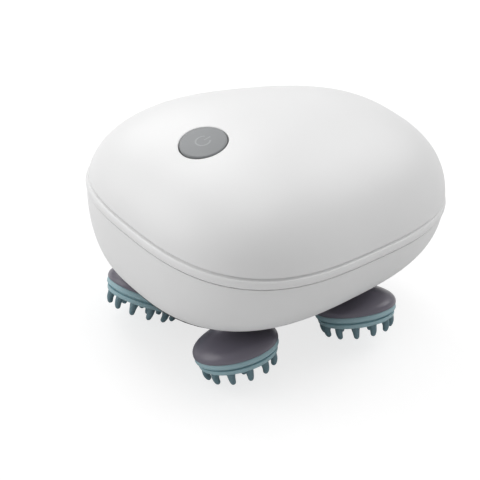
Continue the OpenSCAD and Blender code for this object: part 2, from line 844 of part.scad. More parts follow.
// Grey button: a crowned disc with a flange under the shell and a stem on the switch
function cap_height(r) = button_proud - button_crown * pow(2 * r / button_d, 2);
module button_cap() color("darkgray")
    at_button()
        union() {
            rotate_extrude()
                polygon(concat(
                    [[0, cap_flange_z], [button_d / 2, cap_flange_z]],
                    [
                        for (turn = [0 : 22.5 : 90])
                            [
                                button_d / 2 - button_edge * (1 - cos(turn)),
                                cap_height(button_d / 2 - button_edge)
                                    - button_edge * (1 - sin(turn))
                            ]
                    ],
                    [
                        for (share = [0.75 : -0.25 : 0])
                            [share * button_d / 2, cap_height(share * button_d / 2)]
                    ]
                ));
            translate([0, 0, cap_flange_z - cap_flange_t])
                cylinder(h = cap_flange_t, r = cap_flange_r);
            translate([0, 0, stem_end])
                cylinder(h = 2, r = 2);
        }
module switch_plunger() color("black")
    at_button()
        translate([0, 0, switch_top])
            cylinder(h = plunger_l, r = plunger_r);

// Worm train
module worm_shaft() color("silver")
    translate([worm_shaft_x, 0, wheel_z])
        rotate([0, 90, 0])
            cylinder(h = shafts_meet_x - shaft_break / 2 - worm_shaft_x, r = worm_shaft_d / 2);
module motor_shaft() color("silver")
    translate([shafts_meet_x + shaft_break / 2, 0, wheel_z])
        rotate([0, 90, 0])
            cylinder(h = motor_x + motor_l - shafts_meet_x + 0.8, r = motor_shaft_d / 2);
module shaft_coupling() color("gold")
    difference() {
        along_motor(coupling_x)
            cylinder(h = coupling_l, r = coupling_r);
        along_motor(coupling_x - 1)
            cylinder(h = 1 + coupling_l / 2, r = worm_shaft_d / 2 + run_gap);
        along_motor(coupling_x)
            cylinder(h = coupling_l + 1, r = motor_shaft_d / 2 + run_gap);
    }
// Helical thread along X, of one hand or the other
thread_steps = 16;
thread_turns = (worm_l - 2.4) / thread_pitch;
module thread(hand) {
    steps = floor(thread_turns * thread_steps);
    base_r = worm_root_r - 0.3;
    flare = tan(pressure);
    points = [
        for (k = [0 : steps])
            let (
                turn = 360 * (k - steps / 2) / thread_steps,
                fade = min(1, 3 * min(k, steps - k) / thread_steps + 0.05),
                tip = worm_root_r + (worm_tip_r - worm_root_r) * fade,
                half_tip = worm_thread_t / 2 - addendum * flare,
                half_base = worm_thread_t / 2 + (worm_r - base_r) * flare,
                x = hand * thread_pitch * turn / 360,
                c = cos(turn),
                s = sin(turn)
            )
                each [
                    [x - half_base, base_r * c, base_r * s],
                    [x - half_tip, tip * c, tip * s],
                    [x + half_tip, tip * c, tip * s],
                    [x + half_base, base_r * c, base_r * s]
                ]
    ];
    last = 4 * steps;
    sides = [
        for (k = [0 : steps - 1], i = [0 : 3])
            let (a = 4 * k + i, b = 4 * k + (i + 1) % 4)
                each [[a, b, b + 4], [a, b + 4, a + 4]]
    ];
    ends = [[0, 3, 2], [0, 2, 1], [last, last + 1, last + 2], [last, last + 2, last + 3]];
    polyhedron(points, concat(sides, ends));
}
module worm(x, hand)
    translate([x, 0, wheel_z])
        difference() {
            union() {
                thread(hand);
                translate([-worm_l / 2, 0, 0])
                    rotate([0, 90, 0])
                        cylinder(h = worm_l, r = worm_root_r);
            }
            translate([-worm_l, 0, 0])
                rotate([0, 90, 0])
                    cylinder(h = 2 * worm_l, r = worm_shaft_d / 2 + run_gap);
        }
module front_worm() color("khaki") worm(head_front_x, 1);
module rear_worm() color("khaki") worm(head_rear_x, -1);

// Worm wheel with involute teeth, one flank point at each radius
base_circle_r = pitch_r * cos(pressure);
function roll(r) = r > base_circle_r ? sqrt(pow(r / base_circle_r, 2) - 1) : 0;
function involute(r) = roll(r) * 180 / PI - atan(roll(r));
function half_tooth(r) = wheel_tooth_t / pitch_r * 90 / PI + involute(pitch_r) - involute(r);
TOOTH_RADII = [wheel_root_r, (wheel_root_r + pitch_r) / 2, (pitch_r + wheel_tip_r) / 2, wheel_tip_r];
function tooth(middle) = concat(
    [for (r = TOOTH_RADII) r * [cos(middle - half_tooth(r)), sin(middle - half_tooth(r))]],
    [
        for (k = [len(TOOTH_RADII) - 1 : -1 : 0])
            let (r = TOOTH_RADII[k])
                r * [cos(middle + half_tooth(r)), sin(middle + half_tooth(r))]
    ]
);
module wheel(head) color("oldlace") {
    // On the right a tooth space faces the worm's thread, on the left a tooth does
    phase = head[2] == right ? -90 + 180 / wheel_teeth : 90;
    translate([head_x(head), head[2] * head_y, 0])
        difference() {
            union() {
                translate([0, 0, wheel_z - wheel_w / 2])
                    linear_extrude(wheel_w)
                        polygon([
                            for (k = [0 : wheel_teeth - 1])
                                each tooth(phase + 360 * k / wheel_teeth)
                        ]);
                translate([0, 0, wheel_hub_z])
                    cylinder(h = wheel_hub_top - wheel_hub_z, r = wheel_hub_r);
            }
            translate([0, 0, wheel_hub_z - 1])
                cylinder(h = wheel_hub_top - wheel_hub_z + 2, r = spindle_d / 2 + seat_gap);
            for (face = [-1, 1])
                translate([0, 0, wheel_z + face * (wheel_w / 2 + 0.5)])
                    difference() {
                        cylinder(h = 2 * wheel_w / 3, r = wheel_root_r - 2, center = true);
                        cylinder(h = 2 * wheel_w, r = wheel_hub_r + 1, center = true);
                    }
        }
}

// A head's own frame: the pivot is the origin and the cup hangs down its leaning axis
module at_head(head)
    translate([head_x(head), head[2] * head_y, pivot_z])
        rotate([0, 0, head[3]])
            rotate([0, -head_lean, 0])
                children();
module spindle(head) color("silver") {
    translate([head_x(head), head[2] * head_y, 0])
        difference() {
            union() {
                translate([0, 0, pivot_z])
                    cylinder(h = spindle_top - pivot_z, r = spindle_d / 2);
                translate([0, 0, pivot_z])
                    cylinder(h = hub_top - pivot_z, r = hub_r);
            }
            translate([0, 0, clip_z - 0.05])
                difference() {
                    cylinder(h = clip_t + 0.1, r = spindle_d);
                    translate([0, 0, -1])
                        cylinder(h = clip_t + 2, r = clip_neck_r);
                }
        }
    at_head(head)
        difference() {
            union() {
                sphere(r = ball_r);
                translate([0, 0, -socket_end])
                    cylinder(h = socket_end, r = socket_r);
            }
            translate([0, 0, -socket_end - 1])
                cylinder(h = 5, r = cup_screw_r + seat_gap);
        }
}
module clip(head) color("silver")
    translate([head_x(head), head[2] * head_y, clip_z])
        rotate([0, 0, head[3]])
            difference() {
                cylinder(h = clip_t, r = spindle_d / 2 + 1.4);
                translate([0, 0, -1])
                    cylinder(h = clip_t + 2, r = clip_neck_r + seat_gap);
                translate([0, -clip_neck_r * 0.7, -1])
                    cube([spindle_d * 2, clip_neck_r * 1.4, clip_t + 2]);
            }

// Charcoal cup: a bell that flares from its neck over a round shoulder to its rim
cup_steps = 12;
seat_top = neck_top + 3.2;
function bell_r(w) = (neck_d + (cup_d - neck_d) * (1 - cos(180 * pow(w, 0.85))) / 2) / 2;
function bell_down(w) = neck_top + (cup_h - 1 - neck_top) * w;
module cup(head) color("darkslategray")
    at_head(head)
        difference() {
            rotate_extrude($fn = 96)
                polygon(concat(
                    [[0, -neck_top], [neck_d / 2 - 0.4, -neck_top]],
                    [for (k = [0 : cup_steps]) [bell_r(k / cup_steps), -bell_down(k / cup_steps) - 0.2]],
                    [
                        [cup_d / 2, -cup_h + 0.2],
                        [cup_d / 2 - 0.2, -cup_h],
                        [cup_d / 2 - cup_wall, -cup_h]
                    ],
                    [
                        for (k = [cup_steps - 1 : -1 : cup_steps / 2])
                            [bell_r(k / cup_steps) - cup_wall, -bell_down(k / cup_steps) - cup_wall]
                    ],
                    [[cup_hub_r, -seat_top - 1.6], [cup_hub_r, -socket_end], [0, -socket_end]]
                ));
            sphere(r = ball_r + seat_gap);
            translate([0, 0, -socket_end - 1])
                cylinder(h = socket_end, r = socket_r + seat_gap);
        }
module cup_screw(head) color("silver")
    at_head(head)
        translate([0, 0, -socket_end]) {
            translate([0, 0, -1.3])
                cylinder(h = 1.3 - seat_gap, r = cup_hub_r - 1);
            translate([0, 0, -0.4])
                cylinder(h = 3.8, r = cup_screw_r);
        }

// Silicone pad: a stepped disc with hooked outer fingers, straight inner ones and a middle one
flange_t = 1.9;
pad_groove = 0.5;
module finger(r, angle, out, in, bottom) {
    root_z = -pad_bottom + 0.6;
    knee_z = -pad_bottom - finger_l * 0.5;
    tip_z = -bottom;
    knee_r = (finger_d * 0.45 + fingertip_d * 0.55) / 2;
    rotate([0, 0, angle]) {
        limb([r, root_z], [r + out, knee_z], finger_d / 2, knee_r);
        limb([r + out, knee_z], [r - in, tip_z], knee_r, tip_r);
        translate([r + out, 0, knee_z])
            sphere(r = knee_r, $fn = 24);
        translate([r - in, 0, tip_z])
            sphere(r = tip_r, $fn = 24);
    }
}
// Tapered round limb between two points of the XZ plane
module limb(from, to, from_r, to_r) {
    reach = to - from;
    translate([from[0], 0, from[1]])
        rotate([0, atan2(reach[0], reach[1]), 0])
            cylinder(h = norm(reach), r1 = from_r, r2 = to_r, $fn = 24);
}
module pad(head) color("cadetblue")
    at_head(head)
        union() {
            rotate_extrude($fn = 96)
                polygon([
                    [0, -cup_h - seat_gap],
                    [cup_d / 2 - 0.5, -cup_h - seat_gap],
                    [cup_d / 2 - 0.2, -cup_h - 0.35],
                    [cup_d / 2 - 0.2, -cup_h - flange_t + 0.3],
                    [cup_d / 2 - 0.5, -cup_h - flange_t],
                    [cup_d / 2 - 1.2, -cup_h - flange_t],
                    [cup_d / 2 - 1.2, -cup_h - flange_t - pad_groove],
                    [cup_d / 2 - 0.9, -cup_h - flange_t - pad_groove],
                    [cup_d / 2 - 1, -pad_bottom + 0.7],
                    [cup_d / 2 - 1.7, -pad_bottom],
                    [0, -pad_bottom - 0.3]
                ]);
            for (k = [0 : outer_fingers - 1])
                finger(outer_ring_r, (k + 0.5) * 360 / outer_fingers, 0.45, tip_in, tip_down);
            for (k = [0 : inner_fingers - 1])
                finger(outer_ring_r * 0.56, k * 360 / inner_fingers, 0, 0, tip_down - 0.5);
            finger(0, 0, 0, 0, tip_down - 0.5);
        }

upper_shell();
lower_shell();
base_plate();
seam_gasket();
housing_screws();
chassis();
lower_bushes();
upper_bushes();
shaft_seals();
worm_bushes();
motor_can();
motor_end();
motor_clamp();
clamp_screws();
cell();
cell_cradle();
control_board();
board_parts();
board_screws();
tact_switch();
charge_board();
charge_inlet();
button_cap();
switch_plunger();
worm_shaft();
motor_shaft();
shaft_coupling();
front_worm();
rear_worm();
for (head = HEADS) {
    wheel(head);
    spindle(head);
    clip(head);
    cup(head);
    cup_screw(head);
    pad(head);
}
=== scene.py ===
"""Looks of the electric scalp massager: a white egg-shaped body on four clawed heads.

It is dressed from the inside out, in the order in which it is put together, and the studio
comes last. Sizes are in millimetres, but for the studio, the finished meshes and what the
Geometry Nodes trees take, which are in metres.
"""

import json
import math

import bmesh
import bpy
from mathutils import Matrix, Vector


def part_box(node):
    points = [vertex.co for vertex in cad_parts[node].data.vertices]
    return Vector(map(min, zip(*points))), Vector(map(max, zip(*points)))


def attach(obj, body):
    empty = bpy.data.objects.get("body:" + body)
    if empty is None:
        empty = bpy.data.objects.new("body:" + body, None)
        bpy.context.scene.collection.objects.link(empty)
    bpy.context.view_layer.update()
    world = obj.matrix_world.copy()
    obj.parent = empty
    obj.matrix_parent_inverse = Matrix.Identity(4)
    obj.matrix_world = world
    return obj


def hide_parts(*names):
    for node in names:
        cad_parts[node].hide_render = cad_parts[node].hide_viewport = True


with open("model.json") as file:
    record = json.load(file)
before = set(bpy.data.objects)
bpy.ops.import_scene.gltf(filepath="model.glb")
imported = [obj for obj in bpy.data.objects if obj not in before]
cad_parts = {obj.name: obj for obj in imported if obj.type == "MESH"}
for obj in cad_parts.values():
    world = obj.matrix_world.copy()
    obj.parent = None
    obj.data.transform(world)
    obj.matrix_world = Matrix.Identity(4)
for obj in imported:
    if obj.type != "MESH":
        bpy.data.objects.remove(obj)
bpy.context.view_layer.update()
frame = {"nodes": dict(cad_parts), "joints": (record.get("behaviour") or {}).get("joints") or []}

# ---------------------------------------------------------------------------------------
# Base plate. The dark floor of the body, moulded in ABS against a spark-eroded tool, with
# a collar round each spindle. Five long screws go up through it, and the drive stands on it.
# ---------------------------------------------------------------------------------------


def add(tree, kind, inputs=None, **settings):
    """Adds a node, sets it, and links or fills the inputs that are named or numbered."""
    made = tree.nodes.new(kind)
    for name, value in settings.items():
        setattr(made, name, value)
    for key, value in (inputs or {}).items():
        if isinstance(value, bpy.types.NodeSocket):
            tree.links.new(value, made.inputs[key])
        else:
            made.inputs[key].default_value = value
    return made


def srgb(code):
    """Turns an sRGB hex colour into the linear colour that the shaders take."""
    parts = [int(code[place : place + 2], 16) / 255 for place in (0, 2, 4)]
    return [c / 12.92 if c <= 0.04045 else ((c + 0.055) / 1.055) ** 2.4 for c in parts] + [1]


def blank(name):
    """A new material and its node tree, which is still empty."""
    material = bpy.data.materials.new(name)
    material.use_nodes = True
    material.node_tree.nodes.clear()
    return material, material.node_tree


def moulded(name, face, deep, rough, grain_mm, depth_mm, flow_mm=26, ior=1.53, coat=0.0):
    """A moulded plastic or rubber: its colour drifts a little with the flow of the melt,
    handling varies its gloss, and the tool's grain is in its skin."""
    material, tree = blank(name)
    place = add(tree, "ShaderNodeTexCoord").outputs["Object"]
    flow = add(
        tree, "ShaderNodeTexNoise", {"Vector": place, "Scale": 1000 / flow_mm, "Detail": 2.0}
    )
    colour = add(
        tree,
        "ShaderNodeMix",
        {"Factor": flow.outputs["Fac"], 6: srgb(face), 7: srgb(deep)},
        data_type="RGBA",
    )
    smudge = add(
        tree,
        "ShaderNodeTexNoise",
        {"Vector": place, "Scale": 1000 / (flow_mm * 0.35), "Detail": 0.5},
    )
    gloss = add(
        tree,
        "ShaderNodeMapRange",
        {
            "Value": smudge.outputs["Fac"],
            "From Min": 0.2,
            "From Max": 0.8,
            "To Min": rough * 0.94,
            "To Max": rough * 1.06,
        },
    )
    grain = add(
        tree,
        "ShaderNodeTexNoise",
        {"Vector": place, "Scale": 1000 / grain_mm, "Detail": 3.0, "Roughness": 0.55},
    )
    bump = add(
        tree,
        "ShaderNodeBump",
        {"Height": grain.outputs["Fac"], "Strength": 1.0, "Distance": depth_mm / 1000},
    )
    skin = add(
        tree,
        "ShaderNodeBsdfPrincipled",
        {
            "Base Color": colour.outputs[2],
            "Roughness": gloss.outputs["Result"],
            "IOR": ior,
            "Coat Weight": coat,
            "Coat Roughness": 0.12,
            "Normal": bump.outputs["Normal"],
        },
    )
    add(tree, "ShaderNodeOutputMaterial", {"Surface": skin.outputs["BSDF"]})
    return material


def dress(material, *names):
    """Gives CAD nodes a finish."""
    for name in names:
        node = frame["nodes"][name]
        node.data.materials.clear()
        node.data.materials.append(material)


# The eroded tool leaves a fine even grain of about 0.15 mm, drawn at 0.3 mm so that it shows:
# the plate looks matt and a little dusty beside the polished cups.
eroded_abs = moulded("eroded charcoal ABS", "3B3D42", "33353A", 0.52, 0.3, 0.012)
dress(eroded_abs, "base_plate")

# ---------------------------------------------------------------------------------------
# Spindles. Four ground and blackened steel shafts, each turning in two sintered bronze bushes
# and through a nitrile seal in the collar, and held up by a spring-steel clip.
# ---------------------------------------------------------------------------------------


def turned(name, colour, worn, rough, groove_mm, stretch):
    """A metal that was turned, ground or drawn: fine tool marks run round or along it."""
    material, tree = blank(name)
    place = add(tree, "ShaderNodeTexCoord").outputs["Object"]
    along = add(tree, "ShaderNodeMapping", {"Vector": place, "Scale": stretch})
    marks = add(
        tree,
        "ShaderNodeTexNoise",
        {"Vector": along.outputs["Vector"], "Scale": 1000 / groove_mm, "Detail": 4.0},
    )
    stain = add(tree, "ShaderNodeTexNoise", {"Vector": place, "Scale": 240.0, "Detail": 3.0})
    tint = add(
        tree,
        "ShaderNodeMix",
        {"Factor": stain.outputs["Fac"], 6: srgb(colour), 7: srgb(worn)},
        data_type="RGBA",
    )
    gloss = add(
        tree,
        "ShaderNodeMapRange",
        {"Value": marks.outputs["Fac"], "To Min": rough * 0.7, "To Max": rough * 1.3},
    )
    bump = add(
        tree,
        "ShaderNodeBump",
        {"Height": marks.outputs["Fac"], "Strength": 0.6, "Distance": 0.000008},
    )
    skin = add(
        tree,
        "ShaderNodeBsdfPrincipled",
        {
            "Base Color": tint.outputs[2],
            "Metallic": 1.0,
            "Roughness": gloss.outputs["Result"],
            "Normal": bump.outputs["Normal"],
        },
    )
    add(tree, "ShaderNodeOutputMaterial", {"Surface": skin.outputs["BSDF"]})
    return material


HEADS = ["front_left", "front_right", "rear_left", "rear_right"]
# Ground steel: marks of 0.2 mm round the shaft, bright with a soft streak.
ground_steel = turned("ground steel", "C4C5C8", "A9ABB0", 0.24, 0.2, (0.3, 0.3, 1.0))
# Sintered bronze: pressed from powder and soaked in oil, so it is dull, brown and open-grained.
sintered_bronze = turned("oiled sintered bronze", "A57C4A", "7F5C35", 0.46, 0.35, (1, 1, 1))
# Nitrile rubber: black and matt, with the faint bloom of its moulding.
nitrile = moulded("nitrile rubber", "17181A", "232426", 0.62, 0.25, 0.01, ior=1.52)
# Black-oxide finish: the same ground shaft, turned dark and satin by its bath.
black_oxide = turned("black-oxide steel", "4B484F", "3D3B41", 0.34, 0.2, (0.3, 0.3, 1.0))
for head in HEADS:
    dress(black_oxide, head + "_spindle")
    dress(ground_steel, head + "_clip", head + "_cup_screw")
dress(sintered_bronze, "lower_bushes", "upper_bushes", "worm_bushes")
dress(nitrile, "shaft_seals")

# ---------------------------------------------------------------------------------------
# Gears. Four worm wheels and two worms, one of each hand, moulded in natural acetal and greased
# between the teeth: ivory and slightly waxy, its tone drifting a little at random.
# ---------------------------------------------------------------------------------------

acetal = moulded(
    "greased natural acetal", "E6E0CF", "D3CCB6", 0.34, 0.5, 0.006, flow_mm=14, ior=1.48, coat=0.25
)
dress(acetal, "front_worm", "rear_worm", *[head + "_wheel" for head in HEADS])

# ---------------------------------------------------------------------------------------
# Motor. A deep-drawn zinc-plated can with a nylon end cap, joined to the worm shaft by a
# brass coupling, and held by a clamp of glass-filled nylon.
# ---------------------------------------------------------------------------------------

# Zinc plate: bluish, with the drawing marks of the can along its axis.
zinc_plate = turned("zinc-plated drawn steel", "AEB4BC", "98A0AA", 0.3, 0.4, (0.15, 1, 1))
# Free-cutting brass: bright yellow, with turning marks every 0.15 mm round its axis.
brass = turned("turned brass", "D2AE62", "B8924A", 0.26, 0.15, (1, 0.3, 0.3))
end_nylon = moulded("ivory nylon", "D9D2BC", "C9C1A9", 0.42, 0.35, 0.008)
# Glass-filled nylon: almost black, with fibres of about 0.3 mm that show as pale streaks.
glass_nylon = moulded("glass-filled nylon", "2C2E33", "3A3D42", 0.48, 0.3, 0.014, flow_mm=9)
dress(zinc_plate, "motor_can", "clamp_screws")
dress(ground_steel, "worm_shaft", "motor_shaft")
dress(brass, "shaft_coupling")
dress(end_nylon, "motor_end")
dress(glass_nylon, "motor_clamp", "chassis", "cell_cradle")

# ---------------------------------------------------------------------------------------
# Cell. A lithium cell in heat-shrunk blue film, which is thin and glossy over the can and
# wrinkles a little round its ends.
# ---------------------------------------------------------------------------------------

shrink_film = moulded(
    "shrink film", "2F6C9E", "275D8B", 0.2, 2.2, 0.03, flow_mm=18, ior=1.55, coat=0.4
)
dress(shrink_film, "cell")

# ---------------------------------------------------------------------------------------
# Boards. Glass-epoxy boards under a green solder mask, with copper tracks that show through
# it as paler lines, black moulded parts, and a tactile switch with a moulded body.
# ---------------------------------------------------------------------------------------


def skin_of(material):
    """The shader of a finish, for what this finish has and the others haven't."""
    nodes = material.node_tree.nodes
    return next(node for node in nodes if node.bl_idname == "ShaderNodeBsdfPrincipled")


def tracked_board(name, mask, track, pitch_mm):
    """A board whose tracks run in straight stretches at one pitch under its mask."""
    material = moulded(name, mask, mask, 0.3, 0.4, 0.006, flow_mm=30, ior=1.55)
    tree = material.node_tree
    place = add(tree, "ShaderNodeTexCoord").outputs["Object"]
    tracks = add(
        tree,
        "ShaderNodeTexBrick",
        {
            "Vector": place,
            "Color1": srgb(mask),
            "Color2": srgb(mask),
            "Mortar": srgb(track),
            "Scale": 1000 / pitch_mm,
            "Mortar Size": 0.14,
            "Mortar Smooth": 0.3,
            "Brick Width": 2.6,
            "Row Height": 1.0,
        },
        offset=0.37,
        offset_frequency=3,
    )
    tree.links.new(tracks.outputs["Color"], skin_of(material).inputs["Base Color"])
    return material


solder_mask = tracked_board("green solder mask", "1E5A3A", "3C8A5C", pitch_mm=1.9)
black_epoxy = moulded("black epoxy", "1B1B1D", "242426", 0.4, 0.25, 0.008)
black_nylon = moulded("black nylon", "202124", "2A2B2E", 0.45, 0.3, 0.008)
dress(solder_mask, "control_board", "charge_board")
dress(black_epoxy, "board_parts")
dress(black_nylon, "tact_switch", "switch_plunger")
dress(zinc_plate, "board_screws")

# ---------------------------------------------------------------------------------------
# Lower shell. The white skirt of the body, moulded in ABS and polished to a soft satin. Its
# rabbet takes the upper shell's tongue, on a silicone gasket, and it curls in to the plate.
# ---------------------------------------------------------------------------------------

# The plan: length and width, how far it narrows to the rear, and how square its outline is.
# Then the dome and the skirt, each with its height and how full its side view is, the opening
# for the plate, the parting line's fall and bow, and the tongue and its seat.
body_l, body_w, body_egg, body_square = 124, 98, 0.24, 2.7
dome_h, dome_full, skirt_h, skirt_full = 33, 2.2, 21.5, 1.8
floor_l, floor_w, floor_shift = 112, 66, 0.5
seam_drop, seam_bow, wall, lip_out = 6, 2.4, 2.6, 0.45
tongue_h, tongue_w, gasket_h, seat_gap = 1.6, 1, 0.9, 0.05
floor_t, flange_w = 2, 3.6
around = 288
DIRECTIONS = [2 * math.pi * step / around for step in range(around)]
seam_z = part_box("lower_shell")[0].z * 1000 + skirt_h


def outline(t):
    """The body's plan outline in the direction t, as shares of its half length and width."""
    c, s = math.cos(t), math.sin(t)
    reach = (abs(c) ** body_square + abs(s) ** body_square) ** (-1 / body_square)
    return reach * c, reach * s * (1 - body_egg * reach * c)


OUTLINE = [outline(t) for t in DIRECTIONS]
half_l = body_l / 2 - lip_out
half_w = (body_w / 2 - lip_out) / max(y for _, y in OUTLINE)


def seam_at(x):
    """Height of the parting line above its middle, at a share x of the half length."""
    return -seam_drop / 2 * x - seam_bow * x * x


def skirt_ring(v, out):
    """A ring of the lower shell at a share v of its depth, standing out by out."""
    curl = max(1 - v**skirt_full, 0) ** (1 / skirt_full)
    low_l, low_w = floor_l / 2 / half_l, floor_w / 2 / half_w
    long, wide = low_l + (1 - low_l) * curl, low_w + (1 - low_w) * curl
    return [
        (
            (half_l * long + out) * x + floor_shift * v,
            (half_w * wide + out) * y,
            seam_z + seam_at(x) * (1 - v) - skirt_h * v,
        )
        for x, y in OUTLINE
    ]


def seam_ring(rise, out):
    """A ring that follows the parting line at a height above it."""
    return [
        ((half_l + out) * x, (half_w + out) * y, seam_z + seam_at(x) + rise) for x, y in OUTLINE
    ]


def floor_ring(z, out):
    """A level ring of the opening at the bottom."""
    long, wide = floor_l / 2 + out, floor_w / 2 + out
    return [(long * x + floor_shift, wide * y, z) for x, y in OUTLINE]


def loft(name, rings, poles=()):
    """A closed skin through rings of equal count: a loop of rings, or a row between poles."""
    mesh = bmesh.new()
    rows = [[mesh.verts.new(Vector(p) / 1000) for p in ring] for ring in rings]
    count = len(rings[0])
    pairs = list(zip(rows, rows[1:]))
    if not poles:
        pairs.append((rows[-1], rows[0]))
    for upper, lower in pairs:
        for i in range(count):
            j = (i + 1) % count
            mesh.faces.new((upper[i], upper[j], lower[j], lower[i]))
    for pole, row in zip(poles, (rows[0], rows[-1])):
        tip = mesh.verts.new(Vector(pole) / 1000)
        for i in range(count):
            mesh.faces.new((row[i], row[(i + 1) % count], tip))
    return settle(name, mesh)


def put(name, data):
    """Makes an object of a mesh, a lamp or a camera and puts it in the scene."""
    made = bpy.data.objects.new(name, data)
    bpy.context.scene.collection.objects.link(made)
    return made


def smooth(data, sharp=32):
    """Shades a mesh smoothly, except over edges that turn by more than sharp degrees."""
    data.shade_smooth()
    data.set_sharp_from_angle(angle=math.radians(sharp))


def settle(name, mesh):
    """Turns a bmesh into an object whose faces point outwards and shade smoothly."""
    bmesh.ops.recalc_face_normals(mesh, faces=mesh.faces)
    data = bpy.data.meshes.new(name)
    mesh.to_mesh(data)
    mesh.free()
    smooth(data)
    return put(name, data)


# Polished white ABS: the polish leaves a soft orange peel of about 1.5 mm and a satin gloss,
# so lamps show as wide, blurred patches and never as mirror images.
satin_white = moulded("satin white ABS", "F1F1F1", "EDEDED", 0.4, 1.5, 0.006, flow_mm=34)

skirt_steps, curl_steps = 34, 14
lower_wall, skirt_in = wall + 0.2, 0.1
tongue_play = 0.2
rabbet = tongue_h + gasket_h + 2 * seat_gap
groove_out = tongue_w - wall + tongue_play
inner_end = 1 - floor_t / skirt_h
# The parting edges stand apart for a short depth, below and above the parting line: this is
# the shadow gap at the joint. Both of its walls open by a hair and have broken edges.
gap_below, gap_above, gap_depth, hair = 0.36, 0.22, 1, 0.02
break_below, break_above = 0.14, 0.12
outside = [
    seam_ring(0, -gap_depth - hair),
    seam_ring(-gap_below, -gap_depth),
    seam_ring(-gap_below - hair, -2 * skirt_in),
    seam_ring(-gap_below - break_below, -skirt_in),
]
for step in range(1, skirt_steps + 1):
    share = math.sin(math.pi / 2 * step / skirt_steps) ** (2 / skirt_full)
    outside.append(skirt_ring(share, -skirt_in))
floor_z = seam_z - skirt_h
flange = [
    floor_ring(floor_z, -0.5),
    floor_ring(floor_z, -flange_w),
    floor_ring(floor_z + floor_t, -flange_w),
]
inside = []
for step in range(curl_steps, 0, -1):
    share = inner_end * math.sin(math.pi / 2 * step / curl_steps) ** (2 / skirt_full)
    inside.append(skirt_ring(share, -lower_wall))
groove = [
    seam_ring(-rabbet, -lower_wall),
    seam_ring(-rabbet, groove_out),
    seam_ring(-seat_gap, groove_out),
    seam_ring(0, groove_out + seat_gap),
]
skirt = loft("skirt_shell", outside + flange + inside + groove)
skirt.data.materials.append(satin_white)
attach(skirt, "housing")
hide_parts("lower_shell")

# Gasket silicone: grey, matt and slightly translucent, with no grain of its own.
silicone_ior = 1.41
gasket_silicone = moulded(
    "grey gasket silicone", "B4B7BA", "A6A9AD", 0.55, 0.6, 0.006, ior=silicone_ior
)
dress(gasket_silicone, "seam_gasket")

# ---------------------------------------------------------------------------------------
# Upper shell. The white dome, moulded in one piece with the raised lip and the crease over
# the parting line, and with a hole for the button and a slot for the charging inlet.
# ---------------------------------------------------------------------------------------

lip_h, crease_w, crease_d, crease_round = 2.8, 1, 0.95, 0.8
dome_steps, crease_steps, lip_steps, inner_steps = 60, 14, 22, 20
# Turns, in degrees, at which the outer and the inner skin close to a pole at the top
outer_end, inner_top = 89.4, 86


def dome_ring(v, out, low=0):
    """A ring of the dome at a share v of its height, out from it and low below it."""
    scale = max(1 - v**dome_full, 0) ** (1 / dome_full)
    return [
        (
            (half_l + out) * x * scale,
            (half_w + out) * y * scale,
            seam_z + seam_at(x) * (1 - v) + dome_h * v - low * v,
        )
        for x, y in OUTLINE
    ]


def dome_z(x, y):
    """Height of the dome over a point of the plan, found by halving."""
    near, far = 1e-4, 1.0
    for _ in range(40):
        scale = (near + far) / 2
        share = x / half_l / scale
        egg = 1 - body_egg * share
        if abs(share) ** body_square + abs(y / half_w / scale / egg) ** body_square > 1:
            near = scale
        else:
            far = scale
    v = max(1 - scale**dome_full, 0) ** (1 / dome_full)
    return seam_z + seam_at(x / half_l / scale) * (1 - v) + dome_h * v


def share_at(turn):
    """Share of the dome's height at a turn of so many degrees up from its foot."""
    return math.sin(math.radians(turn)) ** (2 / dome_full)


crease_top = lip_h + crease_w
lowest = math.degrees(math.asin((crease_top / dome_h) ** (dome_full / 2)))
skin = [
    dome_ring(share_at(outer_end + (lowest - outer_end) * step / dome_steps), 0)
    for step in range(dome_steps + 1)
]
for step in range(1, crease_steps + 1):
    height = crease_top - crease_w * step / crease_steps
    dip = crease_d * max(math.sin(math.pi * step / crease_steps), 0) ** crease_round
    skin.append(dome_ring(height / dome_h, -dip))
for step in range(1, lip_steps + 1):
    height = lip_h * (1 + math.cos(math.pi * step / lip_steps)) / 2
    bulge = lip_out * math.sqrt(max(1 - (2 * height / lip_h - 1) ** 2, 0))
    skin.append(dome_ring(height / dome_h, bulge))
skin[-1] = seam_ring(gap_above + break_above, seat_gap)
skin += [
    seam_ring(gap_above + hair, -skirt_in),
    seam_ring(gap_above, -gap_depth),
    seam_ring(hair, -gap_depth - hair),
    seam_ring(hair, tongue_w - wall),
    seam_ring(-tongue_h, tongue_w - wall),
    seam_ring(-tongue_h, -wall),
]
skin += [
    dome_ring(share_at(inner_top * step / inner_steps), -wall, wall)
    for step in range(inner_steps + 1)
]
top = seam_z + dome_h
dome = loft("dome_shell", skin, poles=[(0, 0, top), (0, 0, top - wall)])


def joint(name):
    """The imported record's row of a joint."""
    return next(row for row in frame["joints"] if row["name"] == name)


# The button's axis stands square to the dome, and its joint gives that axis
button_d, button_gap, button_from_nose = 15.2, 0.3, 25.5
button_x = -(body_l / 2 - button_from_nose)
button_up = -Vector(joint("button_press")["axis"]).normalized()
button_side = Vector((0, 1, 0))
button_fore = button_side.cross(button_up)
button_at = Vector((button_x, 0, dome_z(button_x, 0)))


def on_button(x, y, z):
    """A point of the button's own frame, in the frame of the whole object."""
    return button_at + button_fore * x + button_side * y + button_up * z


def rise_to_dome(x, y):
    """How far the dome lies above the button's own level plane."""
    rise = 0.0
    for _ in range(8):
        p = on_button(x, y, rise)
        rise += (dome_z(p.x, p.y) - p.z) * button_up.z
    return rise


